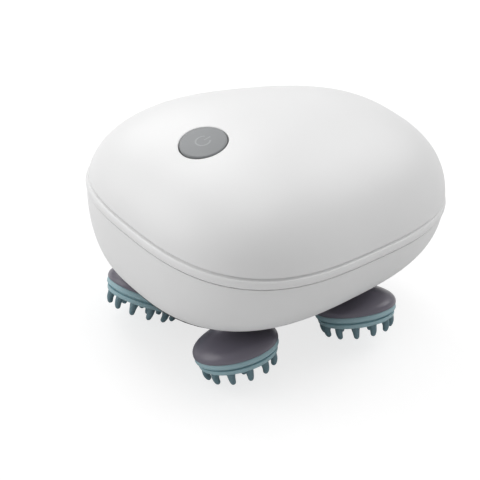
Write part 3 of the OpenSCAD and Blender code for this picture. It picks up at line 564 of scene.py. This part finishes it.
# Cutter for the button's hole: its mouth rounds over by 0.35 mm and follows the dome. A row
# has how far it widens, its height over the dome, and its level where it doesn't follow.
mouth, hole_reach, hole_steps = button_d / 2 + button_gap, 4, 128
cutter_rows = []
for widen, drop, level in (
    (0, 0, -hole_reach),
    (0, -0.35, None),
    (0.03, -0.22, None),
    (0.1, -0.1, None),
    (0.22, -0.03, None),
    (0.36, 0.01, None),
    (0.6, 0, hole_reach),
):
    row = []
    for step in range(hole_steps):
        t = 2 * math.pi * step / hole_steps
        x, y = (mouth + widen) * math.cos(t), (mouth + widen) * math.sin(t)
        row.append(on_button(x, y, rise_to_dome(x, y) + drop if level is None else level))
    cutter_rows.append(row)
hole_ends = [on_button(0, 0, -hole_reach), on_button(0, 0, hole_reach)]
hole = loft("hole", cutter_rows, poles=hole_ends)

# Cutter for the inlet's slot, whose mouth rounds over in the same way, along the body
inlet_low, inlet_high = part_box("charge_inlet")
inlet_w = (inlet_high.y - inlet_low.y) * 1000
inlet_h = (inlet_high.z - inlet_low.z) * 1000
inlet_z = (inlet_high.z + inlet_low.z) / 2 * 1000
inlet_gap, slot_fore, slot_aft, slot_points = 0.3, 44, 72, 96
well_inside = 30.0


def rear_x(y, z):
    """How far back the dome reaches at a height, found by halving."""
    near, far = well_inside, half_l
    for _ in range(30):
        x = (near + far) / 2
        if dome_z(x, y) > z:
            near = x
        else:
            far = x
    return near


slot_rows = []
for widen, back, level in (
    (0, 0, slot_fore),
    (0, -0.4, None),
    (0.05, -0.22, None),
    (0.16, -0.07, None),
    (0.36, 0.01, None),
    (0.5, 0, slot_aft),
):
    row = []
    r = inlet_h / 2 + inlet_gap + widen
    for step in range(slot_points):
        t = 2 * math.pi * step / slot_points
        side = math.copysign((inlet_w - inlet_h) / 2, math.cos(t))
        y, z = side + r * math.cos(t), inlet_z + r * math.sin(t)
        row.append((rear_x(y, z) + back if level is None else level, y, z))
    slot_rows.append(row)
slot = loft("slot", slot_rows, poles=[(slot_fore, 0, inlet_z), (slot_aft, 0, inlet_z)])


def plain_mesh(piece):
    """The mesh that a piece's modifiers make of it."""
    made = piece.evaluated_get(bpy.context.evaluated_depsgraph_get())
    return bpy.data.meshes.new_from_object(made)


def cut(piece, *cutters):
    """Cuts other closed meshes out of a piece and keeps the result as its mesh."""
    for cutter in cutters:
        step = piece.modifiers.new("cut", "BOOLEAN")
        step.operation, step.solver, step.object = "DIFFERENCE", "EXACT", cutter
    done = plain_mesh(piece)
    piece.modifiers.clear()
    piece.data = done
    for cutter in cutters:
        bpy.data.objects.remove(cutter)
    smooth(done)


cut(dome, hole, slot)
dome.data.materials.clear()
dome.data.materials.append(satin_white)
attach(dome, "housing")
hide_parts("upper_shell")

# ---------------------------------------------------------------------------------------
# Button. A grey satin disc of ABS, slightly crowned, with a broken edge, a flange under the
# dome and a stem on the switch. A plain power sign is printed on it in a paler grey.
# ---------------------------------------------------------------------------------------

button_proud, crown = 0.4, 0.35
cap_r = button_d / 2


def cap_height(r):
    """Height of the cap's crown at a radius."""
    return button_proud - crown * (r / cap_r) ** 2


def revolve(name, profile, to_place, steps=128):
    """A skin of revolution through (radius, height) points, put in place point by point."""
    turns = [2 * math.pi * k / steps for k in range(steps)]
    rings = [
        [to_place(r * math.cos(t), r * math.sin(t), z) for t in turns] for r, z in profile[1:-1]
    ]
    ends = [to_place(0, 0, z) for _, z in (profile[0], profile[-1])]
    return loft(name, rings, poles=ends)


edge, crown_steps, crown_share, edge_steps = 0.55, 12, 0.9, 8
crown_radii = [cap_r * k / crown_steps * crown_share for k in range(1, crown_steps + 1)]
cap_profile = [(0, button_proud)] + [(r, cap_height(r)) for r in crown_radii]
for k in range(edge_steps + 1):
    turn = math.pi / 2 * k / edge_steps
    r = cap_r - edge + edge * math.sin(turn)
    cap_profile.append((r, cap_height(cap_r - edge) - edge * (1 - math.cos(turn))))
cap_low, flange_r, flange_h = -wall - 1.8, cap_r + button_gap + 1, 0.8
stem_r, stem_l = 2, 1
cap_profile += [
    (cap_r, cap_low),
    (flange_r, cap_low),
    (flange_r, cap_low - flange_h),
    (stem_r, cap_low - flange_h),
    (stem_r, cap_low - flange_h - stem_l),
    (0, cap_low - flange_h - stem_l),
]
cap = revolve("button", cap_profile, on_button)
# Satin grey ABS: a fine eroded grain of 0.12 mm, drawn at 0.25 mm, takes the shine off it.
satin_grey = moulded("satin grey ABS", "8C8E90", "86888A", 0.4, 0.25, 0.006, flow_mm=12)
cap.data.materials.append(satin_grey)
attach(cap, "button")
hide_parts("button_cap")

# The printed sign: an open ring and a bar. The ink stands on the crown by 0.03 mm and reaches
# a little below it.
ink_up, ink_down = 0.03, -0.02
sign = bmesh.new()


def ink(points, width):
    """A flat printed stroke along points of the cap, lying on its crown."""
    rows = []
    for i, p in enumerate(points):
        before, after = points[max(i - 1, 0)], points[min(i + 1, len(points) - 1)]
        along = (Vector(after) - Vector(before)).normalized()
        across = Vector((-along.y, along.x)) * width / 2
        row = []
        for side, lift in ((1, ink_up), (-1, ink_up), (-1, ink_down), (1, ink_down)):
            x, y = p[0] + side * across.x, p[1] + side * across.y
            at = on_button(x, y, cap_height(math.hypot(x, y)) + lift)
            row.append(sign.verts.new(at / 1000))
        rows.append(row)
    for a, b in zip(rows, rows[1:]):
        for i in range(4):
            sign.faces.new((a[i], a[(i + 1) % 4], b[(i + 1) % 4], b[i]))
    sign.faces.new(rows[0])
    sign.faces.new(rows[-1][::-1])


ring_r, opening, stroke = 2.3, 38, 0.5
bar_from, bar_step, bar_points = 0.5, 0.4, 7
open_ring = [math.radians(turn) for turn in range(opening, 361 - opening, 4)]
ink([(ring_r * math.cos(turn), ring_r * math.sin(turn)) for turn in open_ring], stroke)
ink([(bar_from + bar_step * k, 0) for k in range(bar_points)], stroke)
power_sign = settle("power_sign", sign)
# Printed ink: thin and even, a little paler and duller than the cap.
printed_grey = moulded(
    "printed pale grey ink", "AAACAE", "A3A5A7", 0.5, 0.2, 0.003, flow_mm=6, ior=1.5
)
power_sign.data.materials.append(printed_grey)
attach(power_sign, "button")

# ---------------------------------------------------------------------------------------
# Charging inlet. A drawn steel shell with a black tongue inside it, soldered to the board
# over the motor and just under the dome's skin. The whole inlet takes the steel finish.
# ---------------------------------------------------------------------------------------

drawn_steel = turned("drawn stainless steel", "B9BBBE", "A6A8AC", 0.22, 0.25, (0.2, 1, 1))
dress(drawn_steel, "charge_inlet")

# ---------------------------------------------------------------------------------------
# Housing screws. Five long thread-forming screws with cross-recessed heads, sunk in the base
# plate, which hold the plate, the chassis and both shells together.
# ---------------------------------------------------------------------------------------


def grow(tree, mesh, sizes):
    """Runs a geometry tree on a mesh with its named sizes, and returns the plain result."""
    worker = put(tree.name, mesh)
    step = worker.modifiers.new("grow", "NODES")
    step.node_group = tree
    for item in tree.interface.items_tree:
        if item.in_out == "INPUT" and item.name in sizes:
            step[item.identifier] = sizes[item.name]
    done = plain_mesh(worker)
    bpy.data.objects.remove(worker)
    return done


def geometry_tree(name, sizes):
    """An empty geometry tree with a named input for each of its sizes."""
    tree = bpy.data.node_groups.new(name, "GeometryNodeTree")
    tree.interface.new_socket("Geometry", in_out="INPUT", socket_type="NodeSocketGeometry")
    for size, value in sizes.items():
        kind = "NodeSocketInt" if isinstance(value, int) else "NodeSocketFloat"
        tree.interface.new_socket(size, in_out="INPUT", socket_type=kind).default_value = value
    tree.interface.new_socket("Geometry", in_out="OUTPUT", socket_type="NodeSocketGeometry")
    return tree, tree.nodes.new("NodeGroupInput").outputs


SCREW = {"head": 0.0022, "head height": 0.0016, "shank": 0.0013, "length": 0.0305}
# The chamfer's height and the share of the head that it leaves, and the length, width and
# height of one bar of the cross recess
chamfer_h, chamfer_share, recess = 0.0003, 0.85, (0.0028, 0.0005, 0.0018)
screw_tree, size = geometry_tree("long_screws", SCREW)
head_disc = add(
    screw_tree,
    "GeometryNodeMeshCylinder",
    {"Vertices": 48, "Radius": size["head"], "Depth": size["head height"]},
)
chamfer = add(
    screw_tree,
    "GeometryNodeMeshCone",
    {
        "Vertices": 48,
        "Radius Top": size["head"],
        "Radius Bottom": add(
            screw_tree, "ShaderNodeMath", {0: size["head"], 1: chamfer_share}, operation="MULTIPLY"
        ).outputs[0],
        "Depth": chamfer_h,
    },
)
chamfer_z = -SCREW["head height"] / 2 - chamfer_h
under = add(
    screw_tree,
    "GeometryNodeTransform",
    {"Geometry": chamfer.outputs["Mesh"], "Translation": (0, 0, chamfer_z)},
)
blades = []
for turn in (0, math.pi / 2):
    blade = add(screw_tree, "GeometryNodeMeshCube", {"Size": recess})
    blades.append(
        add(
            screw_tree,
            "GeometryNodeTransform",
            {
                "Geometry": blade.outputs["Mesh"],
                "Translation": (0, 0, -recess[2] / 2),
                "Rotation": (0, 0, turn),
            },
        )
    )
whole_head = add(
    screw_tree, "GeometryNodeMeshBoolean", {1: head_disc.outputs["Mesh"]}, operation="UNION"
)
screw_tree.links.new(under.outputs["Geometry"], whole_head.inputs[1])
recessed = add(
    screw_tree, "GeometryNodeMeshBoolean", {0: whole_head.outputs["Mesh"]}, operation="DIFFERENCE"
)
for blade in blades:
    screw_tree.links.new(blade.outputs["Geometry"], recessed.inputs[1])
shank = add(
    screw_tree,
    "GeometryNodeMeshCylinder",
    {"Vertices": 32, "Radius": size["shank"], "Depth": size["length"]},
)
half_length = add(screw_tree, "ShaderNodeMath", {0: size["length"], 1: 0.5}, operation="MULTIPLY")
shank_up = add(screw_tree, "ShaderNodeCombineXYZ", {"Z": half_length.outputs[0]})
raised = add(
    screw_tree,
    "GeometryNodeTransform",
    {"Geometry": shank.outputs["Mesh"], "Translation": shank_up.outputs[0]},
)
one_screw = add(screw_tree, "GeometryNodeJoinGeometry")
for part in (recessed.outputs["Mesh"], raised.outputs["Geometry"]):
    screw_tree.links.new(part, one_screw.inputs[0])
on_towers = add(
    screw_tree,
    "GeometryNodeInstanceOnPoints",
    {"Points": size["Geometry"], "Instance": one_screw.outputs[0]},
)
plain = add(screw_tree, "GeometryNodeRealizeInstances", {"Geometry": on_towers.outputs[0]})
finished = add(
    screw_tree, "GeometryNodeSetMaterial", {"Geometry": plain.outputs[0], "Material": zinc_plate}
)
add(screw_tree, "NodeGroupOutput", {0: finished.outputs[0]})

# The CAD's own screws say where they stand: the middle of each cluster of their points
cluster_r = 0.006
screws_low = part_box("housing_screws")[0].z
points = [vertex.co.xy for vertex in frame["nodes"]["housing_screws"].data.vertices]
stands = []
for point in points:
    if all((stand - point).length >= cluster_r for stand in stands):
        near = [other for other in points if (other - point).length < cluster_r]
        spans = [[other[i] for other in near] for i in (0, 1)]
        stands.append(Vector([(min(span) + max(span)) / 2 for span in spans]))
seat = screws_low + SCREW["head height"] / 2
towers = bpy.data.meshes.new("towers")
towers.from_pydata([(x, y, seat) for x, y in stands], [], [])
long_screws = put("long_screws", grow(screw_tree, towers, SCREW))
smooth(long_screws.data, 30)
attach(long_screws, "housing")
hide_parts("housing_screws")

# ---------------------------------------------------------------------------------------
# Cups. Four charcoal bells, moulded in ABS in a polished tool. Each leans on its spindle's
# ball, so its rim tips and sweeps as it turns.
# ---------------------------------------------------------------------------------------

head_lean = 22
LEANS_TO = {"front_left": -65, "front_right": 200, "rear_left": -88, "rear_right": 75}
cup_d, cup_h, rim_h, cup_wall = 28, 10, 1, 1.5
neck_d, neck_top, neck_drop, neck_slope = 10.4, 1.5, 0.2, 0.85
hub_r, hub_top, hub_low = 4.2, -6.3, -8.2


def head_frame(head):
    """Places a head's own frame: its pivot is the origin and its cup hangs down its axis."""
    return (
        Matrix.Translation(Vector(joint(head + "_spin")["pos_m"]) * 1000)
        @ Matrix.Rotation(math.radians(LEANS_TO[head]), 4, "Z")
        @ Matrix.Rotation(math.radians(-head_lean), 4, "Y")
    )


def bell(w):
    """Radius and depth of the bell at a share w of its height, from neck to rim."""
    flare = (1 - math.cos(math.pi * w**neck_slope)) / 2
    return (neck_d + (cup_d - neck_d) * flare) / 2, neck_top + (cup_h - rim_h - neck_top) * w


# The wall runs back up inside from the rim as far as hub_step, and ends at the cup's hub
bell_steps, hub_step = 40, 19
outer = [bell(k / bell_steps) for k in range(bell_steps + 1)]
cup_profile = [
    (0, -neck_top),
    (neck_d / 2 - 0.7, -neck_top),
    (neck_d / 2 - 0.25, -neck_top - 0.06),
]
cup_profile += [(r, -down - neck_drop) for r, down in outer[1:]]
cup_profile += [
    (cup_d / 2, -cup_h + 0.35),
    (cup_d / 2 - 0.05, -cup_h + 0.12),
    (cup_d / 2 - 0.22, -cup_h),
    (cup_d / 2 - cup_wall, -cup_h),
]
cup_profile += [(r - cup_wall, -down - cup_wall) for r, down in outer[-2 : hub_step - 1 : -1]]
cup_profile += [(hub_r, hub_top), (hub_r, hub_low), (0, hub_low)]
# Polished charcoal ABS: dark with a faint plum tint. The tool's polish gives it broad, bright
# reflections with soft edges, and handling leaves the gloss slightly uneven.
polished_charcoal = moulded(
    "polished charcoal ABS", "75717D", "6F6B77", 0.3, 2.4, 0.0015, flow_mm=34, ior=1.54
)
for head in HEADS:
    place = head_frame(head)
    cup = revolve(head + "_bell", cup_profile, lambda x, y, z: place @ Vector((x, y, z)))
    cup.data.materials.append(polished_charcoal)
    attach(cup, head + "_head")
    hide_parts(head + "_cup")

# ---------------------------------------------------------------------------------------
# Pads. A disc of teal-grey silicone is pressed over each rim. Twelve hooked fingers stand
# round its edge, seven straight ones inside them, and one in the middle.
# ---------------------------------------------------------------------------------------

pad_t, finger_l, finger_d, fingertip_d = 4.2, 4.2, 2.9, 1.7
pad_bottom = cup_h + pad_t
ring_m, inner_share = cup_d / 2000 - 0.003, 0.56
CLAWS = {
    "outer fingers": 12,
    "inner fingers": 7,
    "ring": ring_m,
    "inner ring": ring_m * inner_share,
    "root": finger_d / 2000,
    "tip": fingertip_d / 2000,
    "outer length": finger_l / 1000,
    "inner length": finger_l / 1000 - 0.0005,
    "bow": 0.0011,
    "hook": 0.0004,
    "root depth": pad_bottom / 1000 - 0.0004,
}
claw_tree, size = geometry_tree("clawed_pad", CLAWS)

# The tree's sums, each by its name: the radius along a finger, with its taper, its flared
# root and its rounded tip, then the points of its spine, its turn and its height.
taper_power, flare_power, tip_power, flare_out, tip_out = 1.15, 14.0, 14.0, 0.0007, 0.00007
where = add(claw_tree, "GeometryNodeInputPosition").outputs[0]
spot = add(claw_tree, "ShaderNodeSeparateXYZ", {0: where}).outputs
found = {"x": spot["X"], "y": spot["Y"], **{key: size[key] for key in CLAWS}}
found["way"] = add(claw_tree, "GeometryNodeSplineParameter").outputs["Factor"]
for result, first, operation, second in (
    ("left", 1.0, "SUBTRACT", "way"),
    ("slimming", "root", "SUBTRACT", "tip"),
    ("taper share", "left", "POWER", taper_power),
    ("taper", "slimming", "MULTIPLY", "taper share"),
    ("flare share", "left", "POWER", flare_power),
    ("flare", flare_out, "MULTIPLY", "flare share"),
    ("tip share", "way", "POWER", tip_power),
    ("fullness", 1.0, "SUBTRACT", "tip share"),
    ("rounding", "fullness", "POWER", 0.5),
    ("tapered", "tip", "ADD", "taper"),
    ("flared", "tapered", "ADD", "flare"),
    ("radius", "flared", "MULTIPLY", "rounding"),
    ("outer middle", "outer length", "MULTIPLY", -0.5),
    ("outer reach", "outer length", "ADD", tip_out),
    ("outer end", "outer reach", "MULTIPLY", -1.0),
    ("inner middle", "inner length", "MULTIPLY", -0.5),
    ("inner reach", "inner length", "ADD", tip_out),
    ("inner end", "inner reach", "MULTIPLY", -1.0),
    ("hook inwards", "hook", "MULTIPLY", -1.0),
    ("turn", "y", "ARCTAN2", "x"),
    ("drop", "root depth", "MULTIPLY", -1.0),
):
    terms = {0: found.get(first, first), 1: found.get(second, second)}
    found[result] = add(claw_tree, "ShaderNodeMath", terms, operation=operation).outputs[0]

section = add(claw_tree, "GeometryNodeCurvePrimitiveCircle", {"Resolution": 20, "Radius": 1.0})
fingers = {}
for kind, bow, hook in (("outer", found["bow"], found["hook inwards"]), ("inner", 0.0, 0.0)):
    middle = add(claw_tree, "ShaderNodeCombineXYZ", {"X": bow, "Z": found[kind + " middle"]})
    end = add(claw_tree, "ShaderNodeCombineXYZ", {"X": hook, "Z": found[kind + " end"]})
    spine = add(
        claw_tree,
        "GeometryNodeCurveQuadraticBezier",
        {
            "Resolution": 26,
            "Start": (0, 0, 0),
            "Middle": middle.outputs[0],
            "End": end.outputs[0],
        },
    )
    fingers[kind] = add(
        claw_tree,
        "GeometryNodeCurveToMesh",
        {
            "Curve": spine.outputs[0],
            "Profile Curve": section.outputs[0],
            "Scale": found["radius"],
            "Fill Caps": True,
        },
    ).outputs[0]

# Two rings of fingers and one in the middle. The outer ring stands half a step round, and
# each finger faces outwards.
rings = [
    add(claw_tree, "GeometryNodeMeshCircle", {"Vertices": size[count], "Radius": size[reach]})
    for count, reach in (("outer fingers", "ring"), ("inner fingers", "inner ring"))
]
centre = add(claw_tree, "GeometryNodeMeshLine", {"Count": 1})
facing = add(claw_tree, "ShaderNodeCombineXYZ", {"Z": found["turn"]})
down = add(claw_tree, "ShaderNodeCombineXYZ", {"Z": found["drop"]})
clawed = add(claw_tree, "GeometryNodeJoinGeometry")
for ring, kind, turn in (
    (rings[0], "outer", math.pi / CLAWS["outer fingers"]),
    (rings[1], "inner", 0.0),
    (centre, "inner", 0.0),
):
    turned_ring = add(
        claw_tree,
        "GeometryNodeTransform",
        {"Geometry": ring.outputs["Mesh"], "Rotation": (0, 0, turn)},
    )
    stood = add(
        claw_tree,
        "GeometryNodeInstanceOnPoints",
        {
            "Points": turned_ring.outputs[0],
            "Instance": fingers[kind],
            "Rotation": facing.outputs[0],
        },
    )
    lowered = add(
        claw_tree,
        "GeometryNodeTransform",
        {"Geometry": stood.outputs[0], "Translation": down.outputs[0]},
    )
    claw_tree.links.new(lowered.outputs[0], clawed.inputs[0])
plain = add(claw_tree, "GeometryNodeRealizeInstances", {"Geometry": clawed.outputs[0]})
shaded = add(claw_tree, "GeometryNodeSetShadeSmooth", {"Geometry": plain.outputs[0]})


def silicone_rubber(name, face, deep):
    """Liquid silicone rubber: satin, slightly translucent at its thin fingers."""
    material = moulded(name, face, deep, 0.42, 0.4, 0.006, flow_mm=8, ior=silicone_ior)
    skin = skin_of(material)
    skin.inputs["Subsurface Weight"].default_value = 0.25
    skin.inputs["Subsurface Radius"].default_value = (0.6, 0.9, 1.0)
    skin.inputs["Subsurface Scale"].default_value = 0.0012
    return material


# Teal-grey silicone, moulded against a blasted tool: its edges glow a little, its faces are
# soft and even, and dust dulls the gloss. The fingers take a darker copy of it: painted shade.
teal_silicone = silicone_rubber("teal-grey silicone", "A6C4CB", "9AB9C1")
# The fingers' copy is darker than the disc: painted shade, for the shadow among the fingers.
finger_silicone_painted_shade = silicone_rubber("teal silicone with painted shade", "738E97", "67828B")
# The fingers get the darker copy, whose colour paints in the shade that falls among them.
finished = add(
    claw_tree, "GeometryNodeSetMaterial", {"Geometry": shaded.outputs[0], "Material": finger_silicone_painted_shade}
)
disc_finish = add(
    claw_tree, "GeometryNodeSetMaterial", {"Geometry": size["Geometry"], "Material": teal_silicone}
)
whole_pad = add(claw_tree, "GeometryNodeJoinGeometry")
for part in (disc_finish, finished):
    claw_tree.links.new(part.outputs[0], whole_pad.inputs[0])
add(claw_tree, "NodeGroupOutput", {0: whole_pad.outputs[0]})

# The disc, from its back over the flange on the cup's rim and the groove to its crowned face
flange_t, groove_h, rim_r = 1.8, 0.8, cup_d / 2
flange_z, groove_z = -cup_h - flange_t, -cup_h - flange_t - groove_h
pad_profile = [
    (0, -cup_h - seat_gap),
    (rim_r - 0.6, -cup_h - seat_gap),
    (rim_r - 0.35, -cup_h - 0.12),
    (rim_r - 0.2, -cup_h - 0.4),
    (rim_r - 0.2, flange_z + 0.4),
    (rim_r - 0.32, flange_z + 0.12),
    (rim_r - 0.6, flange_z),
    (rim_r - 1.6, flange_z - 0.03),
    (rim_r - 1.75, flange_z - 0.2),
    (rim_r - 1.75, groove_z + 0.1),
    (rim_r - 1.5, groove_z),
    (rim_r - 1.05, groove_z),
    (rim_r - 0.9, groove_z - 0.15),
    (rim_r - 1, -pad_bottom + 0.75),
    (rim_r - 1.18, -pad_bottom + 0.32),
    (rim_r - 1.6, -pad_bottom + 0.05),
    (rim_r - 2.1, -pad_bottom),
    (rim_r * 0.5, -pad_bottom - 0.15),
    (0, -pad_bottom - 0.3),
]
disc = revolve("disc", pad_profile, lambda x, y, z: Vector((x, y, z)), 112)
to_metres = Matrix.Scale(0.001, 4)
for head in HEADS:
    data = grow(claw_tree, disc.data, CLAWS)
    data.transform(to_metres @ head_frame(head) @ to_metres.inverted())
    data.set_sharp_from_angle(angle=math.radians(38))
    pad = put(head + "_claws", data)
    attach(pad, head + "_head")
    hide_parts(head + "_pad")
bpy.data.objects.remove(disc)

# ---------------------------------------------------------------------------------------
# Studio. A plain pale floor under a white surround, four wide soft lamps above, beside and
# behind the object, and the camera above and in front of it, turned a little.
# ---------------------------------------------------------------------------------------

bpy.ops.mesh.primitive_plane_add(size=8)
floor = bpy.context.object
floor.name = "floor"
# White paper sweep: matt, so it takes the shadow, and to the camera it is nearly white
paper, tree = blank("white paper sweep")
rays = add(tree, "ShaderNodeLightPath")
real = add(tree, "ShaderNodeBsdfDiffuse", {"Color": srgb("E0E0E0")})
glow = add(tree, "ShaderNodeEmission", {"Color": (1, 1, 1, 1), "Strength": 0.74})
seen = add(tree, "ShaderNodeBsdfDiffuse", {"Color": srgb("A0A0A0")})
both = add(tree, "ShaderNodeAddShader", {0: glow.outputs[0], 1: seen.outputs[0]})
mixed = add(
    tree,
    "ShaderNodeMixShader",
    {0: rays.outputs["Is Camera Ray"], 1: real.outputs[0], 2: both.outputs[0]},
)
add(tree, "ShaderNodeOutputMaterial", {"Surface": mixed.outputs[0]})
floor.data.materials.append(paper)

world = bpy.data.worlds.new("studio")
bpy.context.scene.world = world
world.use_nodes = True
tree = world.node_tree
tree.nodes.clear()
rays = add(tree, "ShaderNodeLightPath")
room = add(tree, "ShaderNodeBackground", {"Color": srgb("F7F7F7"), "Strength": 0.46})
white = add(tree, "ShaderNodeBackground", {"Color": (1, 1, 1, 1), "Strength": 1.0})
mixed = add(
    tree,
    "ShaderNodeMixShader",
    {0: rays.outputs["Is Camera Ray"], 1: room.outputs[0], 2: white.outputs[0]},
)
add(tree, "ShaderNodeOutputWorld", {"Surface": mixed.outputs[0]})

# Camera: the photograph's angle and scale, with the whole body in the frame. The middle of the
# parting line falls on the pixel target_x, target_y of a square frame.
azimuth, elevation, roll = math.radians(-43), math.radians(27.85), math.radians(8.4)
distance, px_per_m, sensor_mm = 0.515, 3016, 36
frame_px, target_x, target_y = 480, 282.4, 196.1
back = Vector(
    (
        math.sin(azimuth) * math.cos(elevation),
        -math.cos(azimuth) * math.cos(elevation),
        math.sin(elevation),
    )
)
right = Vector((math.cos(azimuth), math.sin(azimuth), 0))
up = back.cross(right)
across = right * math.cos(roll) + up * math.sin(roll)
upward = up * math.cos(roll) - right * math.sin(roll)
target = Vector((0, 0, seam_z / 1000))
camera = put("camera", bpy.data.cameras.new("camera"))
camera.matrix_world = Matrix.Translation(target + back * distance) @ Matrix(
    (across, upward, back)
).transposed().to_4x4()
camera.data.sensor_width = sensor_mm
camera.data.lens = px_per_m * distance * sensor_mm / frame_px
camera.data.shift_x = (frame_px / 2 - target_x) / frame_px
camera.data.shift_y = (target_y - frame_px / 2) / frame_px
camera.data.clip_start = 0.01
bpy.context.scene.camera = camera

# Lamps: how far each stands to the right, up and towards the camera, and its power in watts
lamp_size = 0.8
level = Vector((back.x, back.y, 0)).normalized()
for name, side, height, fore, power in (
    ("top_lamp", 0, 0.9, 0, 1.8),
    ("left_lamp", -0.9, 0.3, 0.1, 2.6),
    ("back_left_lamp", -0.55, 0.7, -0.55, 3.25),
    ("back_right_lamp", 0.6, 0.7, -0.5, 2.95),
):
    lamp = bpy.data.lights.new(name, "AREA")
    lamp.shape, lamp.size, lamp.energy = "DISK", lamp_size, power
    holder = put(name, lamp)
    holder.location = target + right * side + level * fore + Vector((0, 0, height))
    holder.rotation_euler = (holder.location - target).to_track_quat("Z", "Y").to_euler()

bpy.context.scene.view_settings.view_transform = "Standard"
